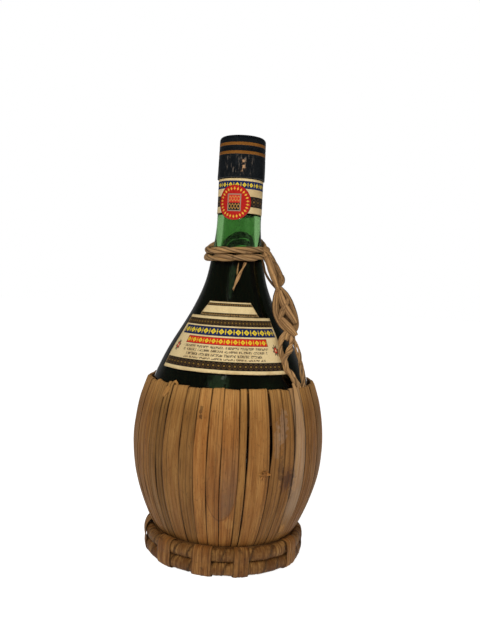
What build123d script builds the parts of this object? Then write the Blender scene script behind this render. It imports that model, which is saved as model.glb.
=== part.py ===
from build123d import *
import math
import os

os.makedirs("parts", exist_ok=True)

# A corked fiasco: a round-bottomed glass bottle in a casing of straw leaves on a straw foot.
# Millimetres, +Z up, origin on the ground under the middle, front of the labels towards -Y.
# Turns are in degrees from the front, positive towards +X.

# Glass bottle
bulb_radius = 58.2
bulb_height = 67.0
bottle_bottom = 9.9
bottom_radius = 24.0
neck_radius = 13.85
bottle_top = 262.2
neck_length = 50.2
bore_radius = 9.3
bore_taper = 7.0
bulb_wall = 2.1
neck_wall = 3.9
lip_round = 1.2

# Outline of the glass: radius, then height, from the middle of the bottom to the neck
under_bulb_shares = ((0.36, 0.05), (0.555, 0.135), (0.73, 0.32), (0.925, 0.65))
shoulder_shares = (
    (0.922, 0.186),
    (0.786, 0.310),
    (0.600, 0.4345),
    (0.366, 0.5586),
    (0.229, 0.6414),
    (0.127, 0.7241),
    (0.0485, 0.8483),
)
# Wall from bulb to neck: place along the outline, then how far it has thickened
wall_shares = (
    (0.0, 0.85),
    (0.09, 0.35),
    (0.24, 0.0),
    (0.42, 0.0),
    (0.55, 0.1),
    (0.68, 0.3),
    (0.82, 0.65),
    (1.0, 1.0),
)

# Wine and cork
wine_gap = 0.15
wine_share = 0.855172
cork_gap = 0.05
cork_length = 42.0
cork_sink = 1.2
cork_chamfer = 0.8

# Capsule
capsule_length = 25.7
capsule_wall = 0.35
capsule_gap = 0.3
capsule_flare = 0.4
capsule_round = 2.4

# Paper labels
paper = 0.2
glue = 0.06
neck_label_rise = 3.0
neck_label_gap = 0.3
seal_radius = 10.7
seal_turn = -15.0
seal_low = 4.3
label_turn = -8.0
label_arc = 114.0
label_bottom_share = 0.358621
label_top_share = 0.58069
vintage_gap = 0.4
vintage_height = 8.4
vintage_low_half = 18.0
vintage_high_half = 12.4
label_steps = 8

# Casing of leaves
leaf = 0.9
leaf_fit = 0.3
leaf_gap = 0.45
casing_start = -57.0
fold_depth = 18.0
rim_share = 0.289655
hoop_wire = 1.2
hoop_gap = 0.1
# Outer ply: place along the outline up to the rim, then how far it stands off the glass
stand_off_shares = (
    (0.0, 0.0),
    (0.12, 0.0),
    (0.28, 0.05),
    (0.45, 0.1),
    (0.62, 0.25),
    (0.78, 0.6),
    (0.9, 0.95),
    (1.0, 1.0),
)
leaf_steps = 11
ply_steps = 2
# Width of each leaf of the whole turn, from casing_start round by the front
leaf_width_shares = (
    (6.5, 6.0, 5.3, 11.7, 8.7, 7.6, 7.8, 9.4, 4.8, 13.3, 9.2, 7.2, 10.0, 6.5, 8.3)
    + (9.5, 11.0, 8.2, 10.4, 7.4, 12.1, 9.0, 10.6, 6.8, 9.9, 11.6, 8.4, 10.2)
    + (7.6, 9.3, 12.4, 8.0, 10.9, 9.6, 6.9, 11.2, 8.8, 10.0, 9.1, 8.8)
)

# Foot: a rope of straw wound twice round, with flat ties round both turns
coil_stand = 3.5
coil_half_width = 3.0
coil_half_height = 3.8
coil_gap = 0.5
coil_start = -135.0
coil_level_turn = 270.0
coil_climb_turn = 90.0
tie_gap = 0.3
tie_leaf = 1.2
tie_flat = 0.5
cut_steps = 40
tie_turns = (-82.0, -45.0, -14.0, 13.0, 57.0, 92.0, 126.0, 166.0, -158.0, -118.0)
tie_widths = (13.0, 13.0, 11.7, 9.5, 12.0, 11.0, 12.5, 10.5, 12.0, 11.5)
pad_inset = 3.8
pad_thick = 5.0
pad_gap = 0.3
pad_round = 1.5

# Cord wound twice round the neck, low at the front and high at the back
cord_width = 4.2
cord_pitch = 5.1
cord_low_share = 0.7349
cord_rise = 14.0
cord_low_turn = -14.0
cord_low_gap = 0.55
cord_high_gap = 0.38
cord_start = -285.0
cord_quarters = 8
quarter_turn = 90.0
small_turn = 0.01

# Carry strap: folded leaves, a plait and two cords down to the rim
# Routes: turn, share of the way from the rim to the neck, and how far off the glass in own widths
bundle_width = 6.4
plait_width = 10.0
front_cord_width = 4.6
rear_cord_width = 4.0
bundle_route = [
    (60.05, 0.8034, 1.309),
    (60.03, 0.7374, 1.359),
    (59.95, 0.6584, 1.478),
    (59.91, 0.5735, 1.488),
]
plait_route = [
    (59.93, 0.5680, 0.955),
    (60.38, 0.4575, 0.932),
    (57.53, 0.3517, 0.764),
    (51.89, 0.2634, 0.574),
]
front_cord_route = [
    (47.74, 0.2526, 1.226),
    (46.56, 0.1932, 0.694),
    (47.15, 0.1236, 0.620),
    (49.90, 0.0598, 0.716),
]
rear_cord_route = [
    (53.90, 0.2406, 1.352),
    (58.46, 0.1889, 0.815),
    (60.93, 0.1222, 0.678),
    (60.57, 0.0595, 0.712),
]
run_share = 0.45

# Loose ends of leaf under the front of the neck cord
loose_width = 2.0
loose_thick = 0.7
long_end_route = [(13.36, 0.7371, 0.786), (4.86, 0.6697, 0.815), (-3.32, 0.5934, 0.837)]
short_end_route = [(1.86, 0.7328, 1.396), (1.44, 0.6809, 1.732)]
short_end_width = 1.0


def rise(low, high, share):
    return low + (high - low) * share


def stepped(table, place):
    """value at a place between the rows of a table of (place, value) shares"""
    for (before, low), (after, high) in zip(table, table[1:]):
        if place <= after:
            return rise(low, high, (place - before) / (after - before))
    return table[-1][1]


def spot(turn, radius, height):
    """point at a turn from the front"""
    angle = math.radians(turn)
    return Vector(radius * math.sin(angle), -radius * math.cos(angle), height)


def smooth(points, start_way, end_way):
    """spline through the points with these directions at its ends"""
    return Spline(*points, tangents=[start_way, end_way], tangent_scalars=[1, 1])


# Levels that follow the glass
neck_foot = bottle_top - neck_length
bore_bottom = neck_foot + bore_taper
wine_level = rise(bulb_height, neck_foot, wine_share)
capsule_bottom = bottle_top - capsule_length
neck_label_bottom = neck_foot + neck_label_rise
neck_label_top = capsule_bottom - neck_label_gap
seal_height = (neck_label_bottom + neck_label_top) / 2 - seal_low
label_bottom = rise(bulb_height, neck_foot, label_bottom_share)
label_top = rise(bulb_height, neck_foot, label_top_share)
vintage_bottom = label_top + vintage_gap
vintage_top = vintage_bottom + vintage_height
rim_height = rise(bulb_height, neck_foot, rim_share)

# Outer side of the glass from the bottom's flat to the neck, as radius and height
glass_points = [(bottom_radius, bottle_bottom)]
for out, up in under_bulb_shares:
    glass_points.append(
        (rise(bottom_radius, bulb_radius, out), rise(bottle_bottom, bulb_height, up))
    )
glass_points.append((bulb_radius, bulb_height))
for out, up in shoulder_shares:
    glass_points.append(
        (rise(neck_radius, bulb_radius, out), rise(bulb_height, neck_foot, up))
    )
glass_points.append((neck_radius, neck_foot))
glass_side = smooth(glass_points, (1, 0), (0, 1))


def beside(place, distance):
    """point at a share of the glass outline's length, set out square to it"""
    way = glass_side % place
    outward = Vector(way.Y, -way.X)
    return glass_side @ place + outward * distance


def place_at(height, low=0.0, high=1.0):
    """share of the outline's length at which the glass reaches a height"""
    for _ in range(40):
        middle = (low + high) / 2
        if (glass_side @ middle).Y < height:
            low = middle
        else:
            high = middle
    return low


def radius_at(height):
    return (glass_side @ place_at(height)).X


def wall_at(place):
    return rise(bulb_wall, neck_wall, stepped(wall_shares, place))


# Glass bottle
inner_side = [beside(place, -wall_at(place)) for place, _ in wall_shares]
with BuildPart() as glass_bottle:
    with BuildSketch(Plane.XZ):
        with BuildLine():
            Line((0, bottle_bottom), glass_points[0])
            smooth(glass_points, (1, 0), (0, 1))
            Polyline(
                glass_points[-1],
                (neck_radius, bottle_top),
                (bore_radius, bottle_top),
                (bore_radius, bore_bottom),
                inner_side[-1],
            )
            smooth(inner_side[::-1], (0, -1), (-1, 0))
            Polyline(inner_side[0], (0, inner_side[0].Y), (0, bottle_bottom))
        make_face()
    revolve(axis=Axis.Z)
    lip = glass_bottle.edges().filter_by(GeomType.CIRCLE).group_by(Axis.Z)[-1]
    fillet(lip, lip_round)
glass_bottle.part.label = "glass_bottle"
export_step(glass_bottle.part, "parts/glass_bottle.step")

# Wine, filled to its level
wine_side = [beside(place, -wall_at(place) - wine_gap) for place, _ in wall_shares]
with BuildPart() as wine:
    with BuildSketch(Plane.XZ):
        with BuildLine():
            Line((0, wine_side[0].Y), wine_side[0])
            smooth(wine_side, (1, 0), (0, 1))
            Polyline(wine_side[-1], (0, wine_side[-1].Y), (0, wine_side[0].Y))
        make_face()
    revolve(axis=Axis.Z)
    split(bisect_by=Plane.XY.offset(wine_level), keep=Keep.BOTTOM)
wine.part.label = "wine"
export_step(wine.part, "parts/wine.step")

# Cork
with BuildPart() as cork:
    with BuildSketch(Plane.XY.offset(bottle_top - cork_sink - cork_length)):
        Circle(bore_radius - cork_gap)
    extrude(amount=cork_length)
    chamfer(cork.edges(), cork_chamfer)
cork.part.label = "cork"
export_step(cork.part, "parts/cork.step")

# Capsule, a shade wider at its skirt
capsule_inside = neck_radius + capsule_gap
capsule_top = bottle_top + capsule_gap
with BuildPart() as capsule:
    with BuildSketch(Plane.XZ):
        with BuildLine():
            Polyline(
                (0, capsule_top),
                (capsule_inside, capsule_top),
                (capsule_inside + capsule_flare, capsule_bottom),
                (capsule_inside + capsule_flare + capsule_wall, capsule_bottom),
                (capsule_inside + capsule_wall, capsule_top + capsule_wall),
                (0, capsule_top + capsule_wall),
                close=True,
            )
        make_face()
    revolve(axis=Axis.Z)
    crown = capsule.edges().filter_by(GeomType.CIRCLE).sort_by(Axis.Z)[-1]
    fillet(crown, capsule_round - capsule_wall)
capsule.part.label = "capsule"
export_step(capsule.part, "parts/capsule.step")

# Neck label, a paper collar
with BuildPart() as neck_label:
    with BuildSketch(Plane.XY.offset(neck_label_bottom)):
        Circle(neck_radius + glue + paper)
        Circle(neck_radius + glue, mode=Mode.SUBTRACT)
    extrude(amount=neck_label_top - neck_label_bottom)
neck_label.part.label = "neck_label"
export_step(neck_label.part, "parts/neck_label.step")

# Round seal over the neck label
seal_inside = neck_radius + 2 * glue + paper
with BuildPart() as seal_sticker:
    with BuildSketch(Plane.XY.offset(seal_height - seal_radius)):
        Circle(seal_inside + paper)
        Circle(seal_inside, mode=Mode.SUBTRACT)
    extrude(amount=2 * seal_radius)
    with BuildSketch(Plane(spot(seal_turn, 0, seal_height), z_dir=spot(seal_turn, 1, 0))):
        Circle(seal_radius)
    extrude(amount=seal_inside + 2 * paper, mode=Mode.INTERSECT)
seal_sticker.part.label = "seal_sticker"
export_step(seal_sticker.part, "parts/seal_sticker.step")


def shoulder_paper(bottom, top):
    """closed section of a label on the shoulder, between two heights"""
    low, high = place_at(bottom), place_at(top)
    places = [rise(low, high, step / label_steps) for step in range(label_steps + 1)]
    inner = [beside(place, glue) for place in places]
    outer = [beside(place, glue + paper) for place in places]
    Spline(*inner)
    Line(inner[-1], outer[-1])
    Spline(*reversed(outer))
    Line(outer[0], inner[0])


def turned(turn):
    """upright plane through the axis whose first axis points out at this turn"""
    return Plane((0, 0, 0), x_dir=spot(turn, 1, 0), z_dir=spot(turn - quarter_turn, 1, 0))


def facing(turn):
    """upright plane through the axis that faces out at this turn"""
    return Plane((0, 0, 0), x_dir=spot(turn + quarter_turn, 1, 0), z_dir=spot(turn, 1, 0))


# Shoulder label, a sector of the cone
with BuildPart() as shoulder_label:
    with BuildSketch(turned(label_turn - label_arc / 2)):
        with BuildLine():
            shoulder_paper(label_bottom, label_top)
        make_face()
    revolve(axis=Axis.Z, revolution_arc=label_arc)
shoulder_label.part.label = "shoulder_label"
export_step(shoulder_label.part, "parts/shoulder_label.step")

# Vintage label, cut wider at its foot
with BuildPart() as vintage_label:
    with BuildSketch(turned(label_turn)):
        with BuildLine():
            shoulder_paper(vintage_bottom, vintage_top)
        make_face()
    revolve(axis=Axis.Z)
    with BuildSketch(facing(label_turn)):
        with BuildLine():
            Polyline(
                (-vintage_low_half, vintage_bottom),
                (vintage_low_half, vintage_bottom),
                (vintage_high_half, vintage_top),
                (-vintage_high_half, vintage_top),
                close=True,
            )
        make_face()
    extrude(amount=bulb_radius, mode=Mode.INTERSECT)
vintage_label.part.label = "vintage_label"
export_step(vintage_label.part, "parts/vintage_label.step")

# Casing: each leaf runs up from under the bulb and folds in over the rim's hoop
rim_place = place_at(rim_height)
fold_place = place_at(rim_height - fold_depth)
hoop_space = hoop_wire + 2 * hoop_gap


def leaf_side(share, extra):
    """side of the outer ply at a share of the way to the rim"""
    stand_off = leaf_fit + stepped(stand_off_shares, share) * (leaf + hoop_space)
    return beside(share * rim_place, stand_off + extra)


leaf_inner = [leaf_side(step / leaf_steps, 0) for step in range(leaf_steps + 1)]
leaf_outer = [leaf_side(step / leaf_steps, leaf) for step in range(leaf_steps + 1)]
rim_way = glass_side % rim_place
hoop_centre = beside(rim_place, leaf_fit + leaf + hoop_space / 2)
fold_top_inner = hoop_centre + rim_way * (hoop_space / 2)
fold_top_outer = hoop_centre + rim_way * (hoop_space / 2 + leaf)
ply_places = [rise(rim_place, fold_place, step / ply_steps) for step in range(ply_steps + 1)]
ply_outer = [beside(place, leaf_fit + leaf) for place in ply_places]
ply_inner = [beside(place, leaf_fit) for place in ply_places]


def leaf_section():
    """closed section of one leaf with its fold"""
    smooth(leaf_outer, (1, 0), rim_way)
    ThreePointArc(leaf_outer[-1], fold_top_outer, ply_inner[0])
    Spline(*ply_inner)
    Line(ply_inner[-1], ply_outer[-1])
    Spline(*reversed(ply_outer))
    ThreePointArc(ply_outer[0], fold_top_inner, leaf_inner[-1])
    smooth(leaf_inner[::-1], rim_way * -1, (-1, 0))
    Line(leaf_inner[0], leaf_outer[0])


casing_radius = leaf_side(0.5, leaf).X
gap_turn = math.degrees(leaf_gap / casing_radius)
turn = casing_start
for number, share in enumerate(leaf_width_shares, start=1):
    width_turn = 360 * share / sum(leaf_width_shares)
    with BuildPart() as casing_leaf:
        with BuildSketch(turned(turn + gap_turn / 2)):
            with BuildLine():
                leaf_section()
            make_face()
        revolve(axis=Axis.Z, revolution_arc=width_turn - gap_turn)
    name = f"casing_leaf_{number:02d}"
    casing_leaf.part.label = name
    export_step(casing_leaf.part, f"parts/{name}.step")
    turn += width_turn

# Hoop inside the folds
with BuildPart() as rim_hoop:
    with BuildSketch(Plane.XZ):
        with Locations(hoop_centre):
            Circle(hoop_wire / 2)
    revolve(axis=Axis.Z)
rim_hoop.part.label = "rim_hoop"
export_step(rim_hoop.part, "parts/rim_hoop.step")

# Foot coil's place: beside the casing at the coil's top
coil_pitch = 2 * coil_half_height + coil_gap
coil_low = tie_leaf - tie_flat + tie_gap + coil_half_height
coil_top = coil_low + coil_pitch + coil_half_height
coil_radius = radius_at(coil_top) + leaf_fit + leaf + coil_stand

# Pad that the lower ends of the leaves are bound to
pad_top = leaf_outer[0].Y - pad_gap
pad_radius = coil_radius - coil_half_width - pad_inset
with BuildPart() as base_pad:
    with BuildSketch(Plane.XY.offset(pad_top - pad_thick)):
        Circle(pad_radius)
    extrude(amount=pad_thick)
    fillet(base_pad.edges(), pad_round)
base_pad.part.label = "base_pad"
export_step(base_pad.part, "parts/base_pad.step")


def way_along(route, turn):
    """direction of a winding at a turn"""
    return (route(turn + small_turn) - route(turn - small_turn)).normalized()


def wind(route, turns):
    """a winding's centre line: two arcs that meet smoothly between each pair of turns"""
    for first, last in zip(turns, turns[1:]):
        start, end = route(first), route(last)
        start_way, end_way = way_along(route, first), way_along(route, last)
        chord, ways = end - start, start_way + end_way
        square = 4 - ways.dot(ways)
        single = 2 * chord.dot(ways)
        reach = (math.sqrt(single**2 + 4 * square * chord.dot(chord)) - single) / (2 * square)
        before, after = start + start_way * reach, end - end_way * reach
        middle = (before + after) / 2
        TangentArc(start, middle, tangent=start_way)
        TangentArc(middle, end, tangent=after - before)


def least_gap(centre_line, width, apart):
    """least gap between two stretches of a winding that lie further apart along it"""
    count = 720
    length = centre_line.length
    points = [centre_line @ (step / count) for step in range(count + 1)]
    skip = math.ceil(apart / length * count)
    return min(
        (points[later] - points[early]).length - width
        for early in range(count + 1)
        for later in range(early + skip, count + 1)
    )


# Foot coil: level, a quarter turn of climb at the back, and level again
def foot_route(turn):
    climbed = (turn - coil_start - coil_level_turn) / coil_climb_turn
    climbed = min(max(climbed, 0), 1)
    eased = (1 - math.cos(math.pi * climbed)) / 2
    return spot(turn, coil_radius, coil_low + coil_pitch * eased)


foot_turns = [coil_start + quarter_turn * step for step in range(8)]
with BuildPart() as foot_coil:
    with BuildLine() as foot_line:
        wind(foot_route, foot_turns)
    outward = spot(coil_start, 1, 0)
    with BuildSketch(Plane(foot_line.line @ 0, x_dir=outward, z_dir=foot_line.line % 0)):
        Ellipse(coil_half_width, coil_half_height)
    sweep(path=foot_line.wires()[0])
foot_coil.part.label = "foot_coil"
export_step(foot_coil.part, "parts/foot_coil.step")
foot_wire = foot_line.wires()[0]
foot_gap = least_gap(foot_wire, 2 * coil_half_height, coil_radius)
print(f"foot coil: least gap to itself {foot_gap:.2f} mm")

# Foot ties: flat leaves round both turns, open where they meet the casing
tie_inner_half = coil_half_width + tie_gap
tie_middle = coil_low + coil_pitch / 2
tie_inner_height = coil_pitch + 2 * (coil_half_height + tie_gap)
casing_clear = [leaf_side(step / cut_steps, leaf + tie_gap) for step in range(cut_steps // 2)]
with BuildPart() as foot_ties:
    for tie_turn, tie_width in zip(tie_turns, tie_widths):
        tie_arc = math.degrees(tie_width / coil_radius)
        with BuildSketch(turned(tie_turn - tie_arc / 2)):
            with Locations((coil_radius, tie_middle)):
                SlotOverall(
                    tie_inner_height + 2 * tie_leaf, 2 * (tie_inner_half + tie_leaf), rotation=90
                )
                SlotOverall(tie_inner_height, 2 * tie_inner_half, rotation=90, mode=Mode.SUBTRACT)
            with BuildLine():
                Polyline(*casing_clear, (0, casing_clear[-1].Y), (0, casing_clear[0].Y), close=True)
            make_face(mode=Mode.SUBTRACT)
        revolve(axis=Axis.Z, revolution_arc=tie_arc)
    split(bisect_by=Plane.XY, keep=Keep.TOP)
foot_ties.part.label = "foot_ties"
export_step(foot_ties.part, "parts/foot_ties.step")


# Neck cord: a steady helix, tilted as a whole
cord_low = beside(rise(rim_place, 1, cord_low_share), 0).Y
cord_low_radius = radius_at(cord_low + cord_pitch) + cord_low_gap + cord_width / 2
cord_high_radius = radius_at(cord_low + cord_rise) + cord_high_gap + cord_width / 2


def cord_route(turn):
    back = (1 - math.cos(math.radians(turn - cord_low_turn))) / 2
    height = cord_low + cord_rise * back + cord_pitch * (turn - cord_start) / 360
    return spot(turn, rise(cord_low_radius, cord_high_radius, back), height)


cord_ends = [cord_start + quarter_turn * step for step in range(cord_quarters + 1)]
with BuildPart() as neck_cord:
    with BuildLine() as neck_line:
        first, last = cord_route(cord_ends[0]), cord_route(cord_ends[-1])
        Line(first - way_along(cord_route, cord_ends[0]) * cord_width, first)
        wind(cord_route, cord_ends)
        Line(last, last + way_along(cord_route, cord_ends[-1]) * cord_width)
    neck_wire = neck_line.wires()[0]
    with BuildSketch(Plane(neck_wire @ 0, z_dir=neck_wire % 0)):
        Circle(cord_width / 2)
    sweep(path=neck_wire)
neck_cord.part.label = "neck_cord"
export_step(neck_cord.part, "parts/neck_cord.step")
neck_gap = least_gap(neck_wire, cord_width, 2 * cord_low_radius)
print(f"neck cord: least gap to itself {neck_gap:.2f} mm, length {neck_wire.length:.1f} mm")


def off_glass(route, width):
    """points of a route"""
    points = []
    for turn, share, widths in route:
        point = beside(rise(rim_place, 1, share), widths * width)
        points.append(spot(turn, point.X, point.Y))
    return points


def bend_radii(corners):
    """largest arc that each corner's two runs allow"""
    radii = []
    for before, corner, after in zip(corners, corners[1:], corners[2:]):
        arriving, leaving = corner - before, after - corner
        shorter = min(arriving.length, leaving.length)
        half_turn = math.radians(arriving.get_angle(leaving)) / 2
        radii.append(run_share * shorter / math.tan(half_turn))
    return radii


def check_tube(name, part, wire, width, radii):
    """print what the tube's bends and volume come to"""
    expected = math.pi * (width / 2) ** 2 * wire.length
    bends = ", ".join(f"{radius:.0f}" for radius in radii)
    print(
        f"{name}: length {wire.length:.1f} mm, radii {bends} mm,"
        f" volume {part.volume:.0f} of {expected:.0f} mm3"
    )


strap_pieces = (
    ("strap_bundle", bundle_route, bundle_width),
    ("strap_plait", plait_route, plait_width),
    ("strap_cord_front", front_cord_route, front_cord_width),
    ("strap_cord_rear", rear_cord_route, rear_cord_width),
)
for name, route, width in strap_pieces:
    points = off_glass(route, width)
    radii = bend_radii(points)
    with BuildPart() as strap_piece:
        with BuildLine() as strap_line:
            FilletPolyline(*points, radius=radii)
        strap_wire = strap_line.wires()[0]
        with BuildSketch(Plane(strap_wire @ 0, z_dir=strap_wire % 0)):
            Circle(width / 2)
        sweep(path=strap_wire)
    strap_piece.part.label = name
    export_step(strap_piece.part, f"parts/{name}.step")
    check_tube(name, strap_piece.part, strap_wire, width, radii)

# Loose ends, flat and lying along the glass
with BuildPart() as loose_ends:
    for route, width in ((long_end_route, loose_width), (short_end_route, short_end_width)):
        points = off_glass(route, width)
        for start, end in zip(points, points[1:]):
            along = (end - start).normalized()
            across = start.cross(along).normalized()
            with BuildSketch(Plane(start, x_dir=across, z_dir=along)):
                Rectangle(width, loose_thick)
            extrude(amount=(end - start).length)
loose_ends.part.label = "loose_ends"
export_step(loose_ends.part, "parts/loose_ends.step")
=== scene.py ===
import math

import bmesh
import bpy
import numpy as np
from mathutils import Matrix, Vector


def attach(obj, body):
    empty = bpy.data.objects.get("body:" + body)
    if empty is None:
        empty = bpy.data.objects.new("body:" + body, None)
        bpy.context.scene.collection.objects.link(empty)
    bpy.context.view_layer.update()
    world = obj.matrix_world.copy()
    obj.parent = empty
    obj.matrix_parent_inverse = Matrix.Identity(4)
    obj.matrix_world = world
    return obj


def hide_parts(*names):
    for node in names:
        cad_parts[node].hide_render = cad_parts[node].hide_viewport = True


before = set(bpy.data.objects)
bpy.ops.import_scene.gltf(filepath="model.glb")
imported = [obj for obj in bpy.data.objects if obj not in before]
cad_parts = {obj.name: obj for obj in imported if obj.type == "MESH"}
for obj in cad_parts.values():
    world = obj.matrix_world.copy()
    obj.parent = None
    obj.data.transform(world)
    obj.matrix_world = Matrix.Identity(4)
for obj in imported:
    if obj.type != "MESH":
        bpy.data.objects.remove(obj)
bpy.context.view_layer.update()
scene = bpy.context.scene
mm = 0.001
fullTurn = 2 * math.pi

# A straw-cased wine bottle. Metres, +Z up, labels towards -Y; sizes in the dictionaries are in millimetres.
# Turns are degrees from the front, positive towards +X.


def paint(red, green, blue):  # screen colour 0-255 as Blender's linear colour
    return tuple(((c / 255 + 0.055) / 1.055) ** 2.4 if c > 10 else c / 3294.6 for c in (red, green, blue)) + (1.0,)


def node(tree, kind, inputs=None, **settings):
    made = tree.nodes.new(kind)
    for name, value in settings.items():
        setattr(made, name, value)
    for name, value in (inputs or {}).items():
        plug(tree, made.inputs[name], value)
    return made


def plug(tree, socket, value):
    if isinstance(value, bpy.types.NodeSocket):
        tree.links.new(value, socket)
    else:
        socket.default_value = value


def calc(tree, operation, first, second=0.0, third=0.0):
    return node(tree, "ShaderNodeMath", {0: first, 1: second, 2: third}, operation=operation).outputs[0]


def times(tree, first, *others):
    for other in others:
        first = calc(tree, "MULTIPLY", first, other)
    return first


def plus(tree, first, second):
    return calc(tree, "ADD", first, second)


def minus(tree, first, second):
    return calc(tree, "SUBTRACT", first, second)


def flip(tree, share):  # what is left of 1
    return minus(tree, 1.0, share)


def larger(tree, first, second):
    return calc(tree, "MAXIMUM", first, second)


def reachOf(tree, aside, up):  # distance from the middle of two coordinates
    return calc(tree, "SQRT", plus(tree, calc(tree, "POWER", aside, 2.0), calc(tree, "POWER", up, 2.0)))


def mixColour(tree, share, first, second, way="MIX"):
    return node(tree, "ShaderNodeMix", {0: share, 6: first, 7: second}, data_type="RGBA", blend_type=way).outputs[2]


def fadeUp(tree, value, low, high, toLow=0.0, toHigh=1.0):
    inputs = {"Value": value, "From Min": low, "From Max": high, "To Min": toLow, "To Max": toHigh}
    return node(tree, "ShaderNodeMapRange", inputs, interpolation_type="SMOOTHSTEP").outputs[0]


def speckle(tree, place, scale, detail=4.0, roughness=0.55):
    inputs = {"Vector": place, "Scale": scale, "Detail": detail, "Roughness": roughness}
    return node(tree, "ShaderNodeTexNoise", inputs).outputs[0]


def stretched(tree, place, scale, shift=(0, 0, 0)):
    return node(tree, "ShaderNodeMapping", {"Vector": place, "Scale": scale, "Location": shift}).outputs[0]


def newGroup(name, takes, gives):
    tree = bpy.data.node_groups.new(name, "ShaderNodeTree")
    for label, kind, start in takes:
        made = tree.interface.new_socket(label, in_out="INPUT", socket_type=kind)
        if start is not None:
            made.default_value = start
    for label, kind in gives:
        tree.interface.new_socket(label, in_out="OUTPUT", socket_type=kind)
    return tree, tree.nodes.new("NodeGroupInput").outputs, tree.nodes.new("NodeGroupOutput").inputs


def useGroup(tree, group, inputs):
    made = tree.nodes.new("ShaderNodeGroup")
    made.node_tree = group
    for name, value in inputs.items():
        plug(tree, made.inputs[name], value)
    return made.outputs


def newMaterial(name, **constants):  # a material with one Principled shader; constants sit on its own sockets
    material = bpy.data.materials.new(name)
    material.use_nodes = True
    tree = material.node_tree
    shader = tree.nodes["Principled BSDF"]
    for label, value in constants.items():
        shader.inputs[label.replace("_", " ")].default_value = value
    return material, tree, shader


def plugFinish(tree, shader, colour, roughness, normal):
    for label, value in (("Base Color", colour), ("Roughness", roughness), ("Normal", normal)):
        plug(tree, shader.inputs[label], value)


def objectPlace(tree):
    return tree.nodes.new("ShaderNodeTexCoord").outputs["Object"]


def uvPlace(tree):
    return tree.nodes.new("ShaderNodeTexCoord").outputs["UV"]


def bump(tree, height, distance, strength=1.0):
    return node(tree, "ShaderNodeBump", {"Height": height, "Distance": distance, "Strength": strength}).outputs[0]


def makePlantFibre():  # long fibres along the second coordinate, in metres; the third only picks another stretch
    group, take, give = newGroup(
        "plantFibre",
        [
            ("Place", "NodeSocketVector", None), ("Across", "NodeSocketFloat", 1400.0),
            ("Along", "NodeSocketFloat", 38.0),
        ],
        [
            ("Streak", "NodeSocketFloat"), ("Fibre", "NodeSocketFloat"), ("Blotch", "NodeSocketFloat"),
            ("Height", "NodeSocketFloat"),
        ],
    )
    parts = node(group, "ShaderNodeSeparateXYZ", {0: take["Place"]}).outputs

    def grain(acrossScale, alongScale, detail):
        across = times(group, parts[0], take["Across"], acrossScale)
        along = times(group, parts[1], take["Along"], alongScale)
        seed = times(group, parts[2], 53.0)
        place = node(group, "ShaderNodeCombineXYZ", {0: across, 1: along, 2: seed}).outputs[0]
        return speckle(group, place, 1.0, detail, 0.6)

    streak = grain(1.0, 1.0, 5.0)
    fibre = grain(3.2, 1.6, 3.0)
    blotch = grain(0.16, 1.3, 3.0)
    plug(group, give["Streak"], fadeUp(group, streak, 0.32, 0.68))
    plug(group, give["Fibre"], fadeUp(group, fibre, 0.35, 0.65))
    plug(group, give["Blotch"], fadeUp(group, blotch, 0.35, 0.66))
    plug(group, give["Height"], calc(group, "MULTIPLY_ADD", fibre, 0.45, streak))
    return group


def makeAgeSpots():  # scattered stains and rubs
    group, take, give = newGroup(
        "ageSpots",
        [("Place", "NodeSocketVector", None), ("Scale", "NodeSocketFloat", 90.0), ("Amount", "NodeSocketFloat", 0.3)],
        [("Mask", "NodeSocketFloat")],
    )
    cloud = speckle(group, take["Place"], take["Scale"], 6.0, 0.65)
    edge = minus(group, 0.74, times(group, take["Amount"], 0.5))
    plug(group, give["Mask"], fadeUp(group, cloud, edge, plus(group, edge, 0.09)))
    return group


def makePrintBand():  # 1 between low and high, with soft sides
    group, take, give = newGroup(
        "printBand",
        [
            ("Value", "NodeSocketFloat", 0.0), ("Low", "NodeSocketFloat", 0.0), ("High", "NodeSocketFloat", 1.0),
            ("Soft", "NodeSocketFloat", 0.1),
        ],
        [("Mask", "NodeSocketFloat")],
    )

    def edge(height):
        low = minus(group, height, take["Soft"])
        return fadeUp(group, take["Value"], low, plus(group, height, take["Soft"]))

    rising, falling = edge(take["Low"]), edge(take["High"])
    plug(group, give["Mask"], times(group, rising, flip(group, falling)))
    return group


def makeTurnAndHeight():  # degrees from the front and millimetres from the floor
    group, take, give = newGroup(
        "turnAndHeight", [("Place", "NodeSocketVector", None)],
        [("Turn", "NodeSocketFloat"), ("Height", "NodeSocketFloat")],
    )
    parts = node(group, "ShaderNodeSeparateXYZ", {0: take["Place"]}).outputs
    angle = calc(group, "ARCTAN2", parts[0], times(group, parts[1], -1.0))
    plug(group, give["Turn"], times(group, angle, 360 / fullTurn))
    plug(group, give["Height"], times(group, parts[2], 1000.0))
    return group


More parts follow.
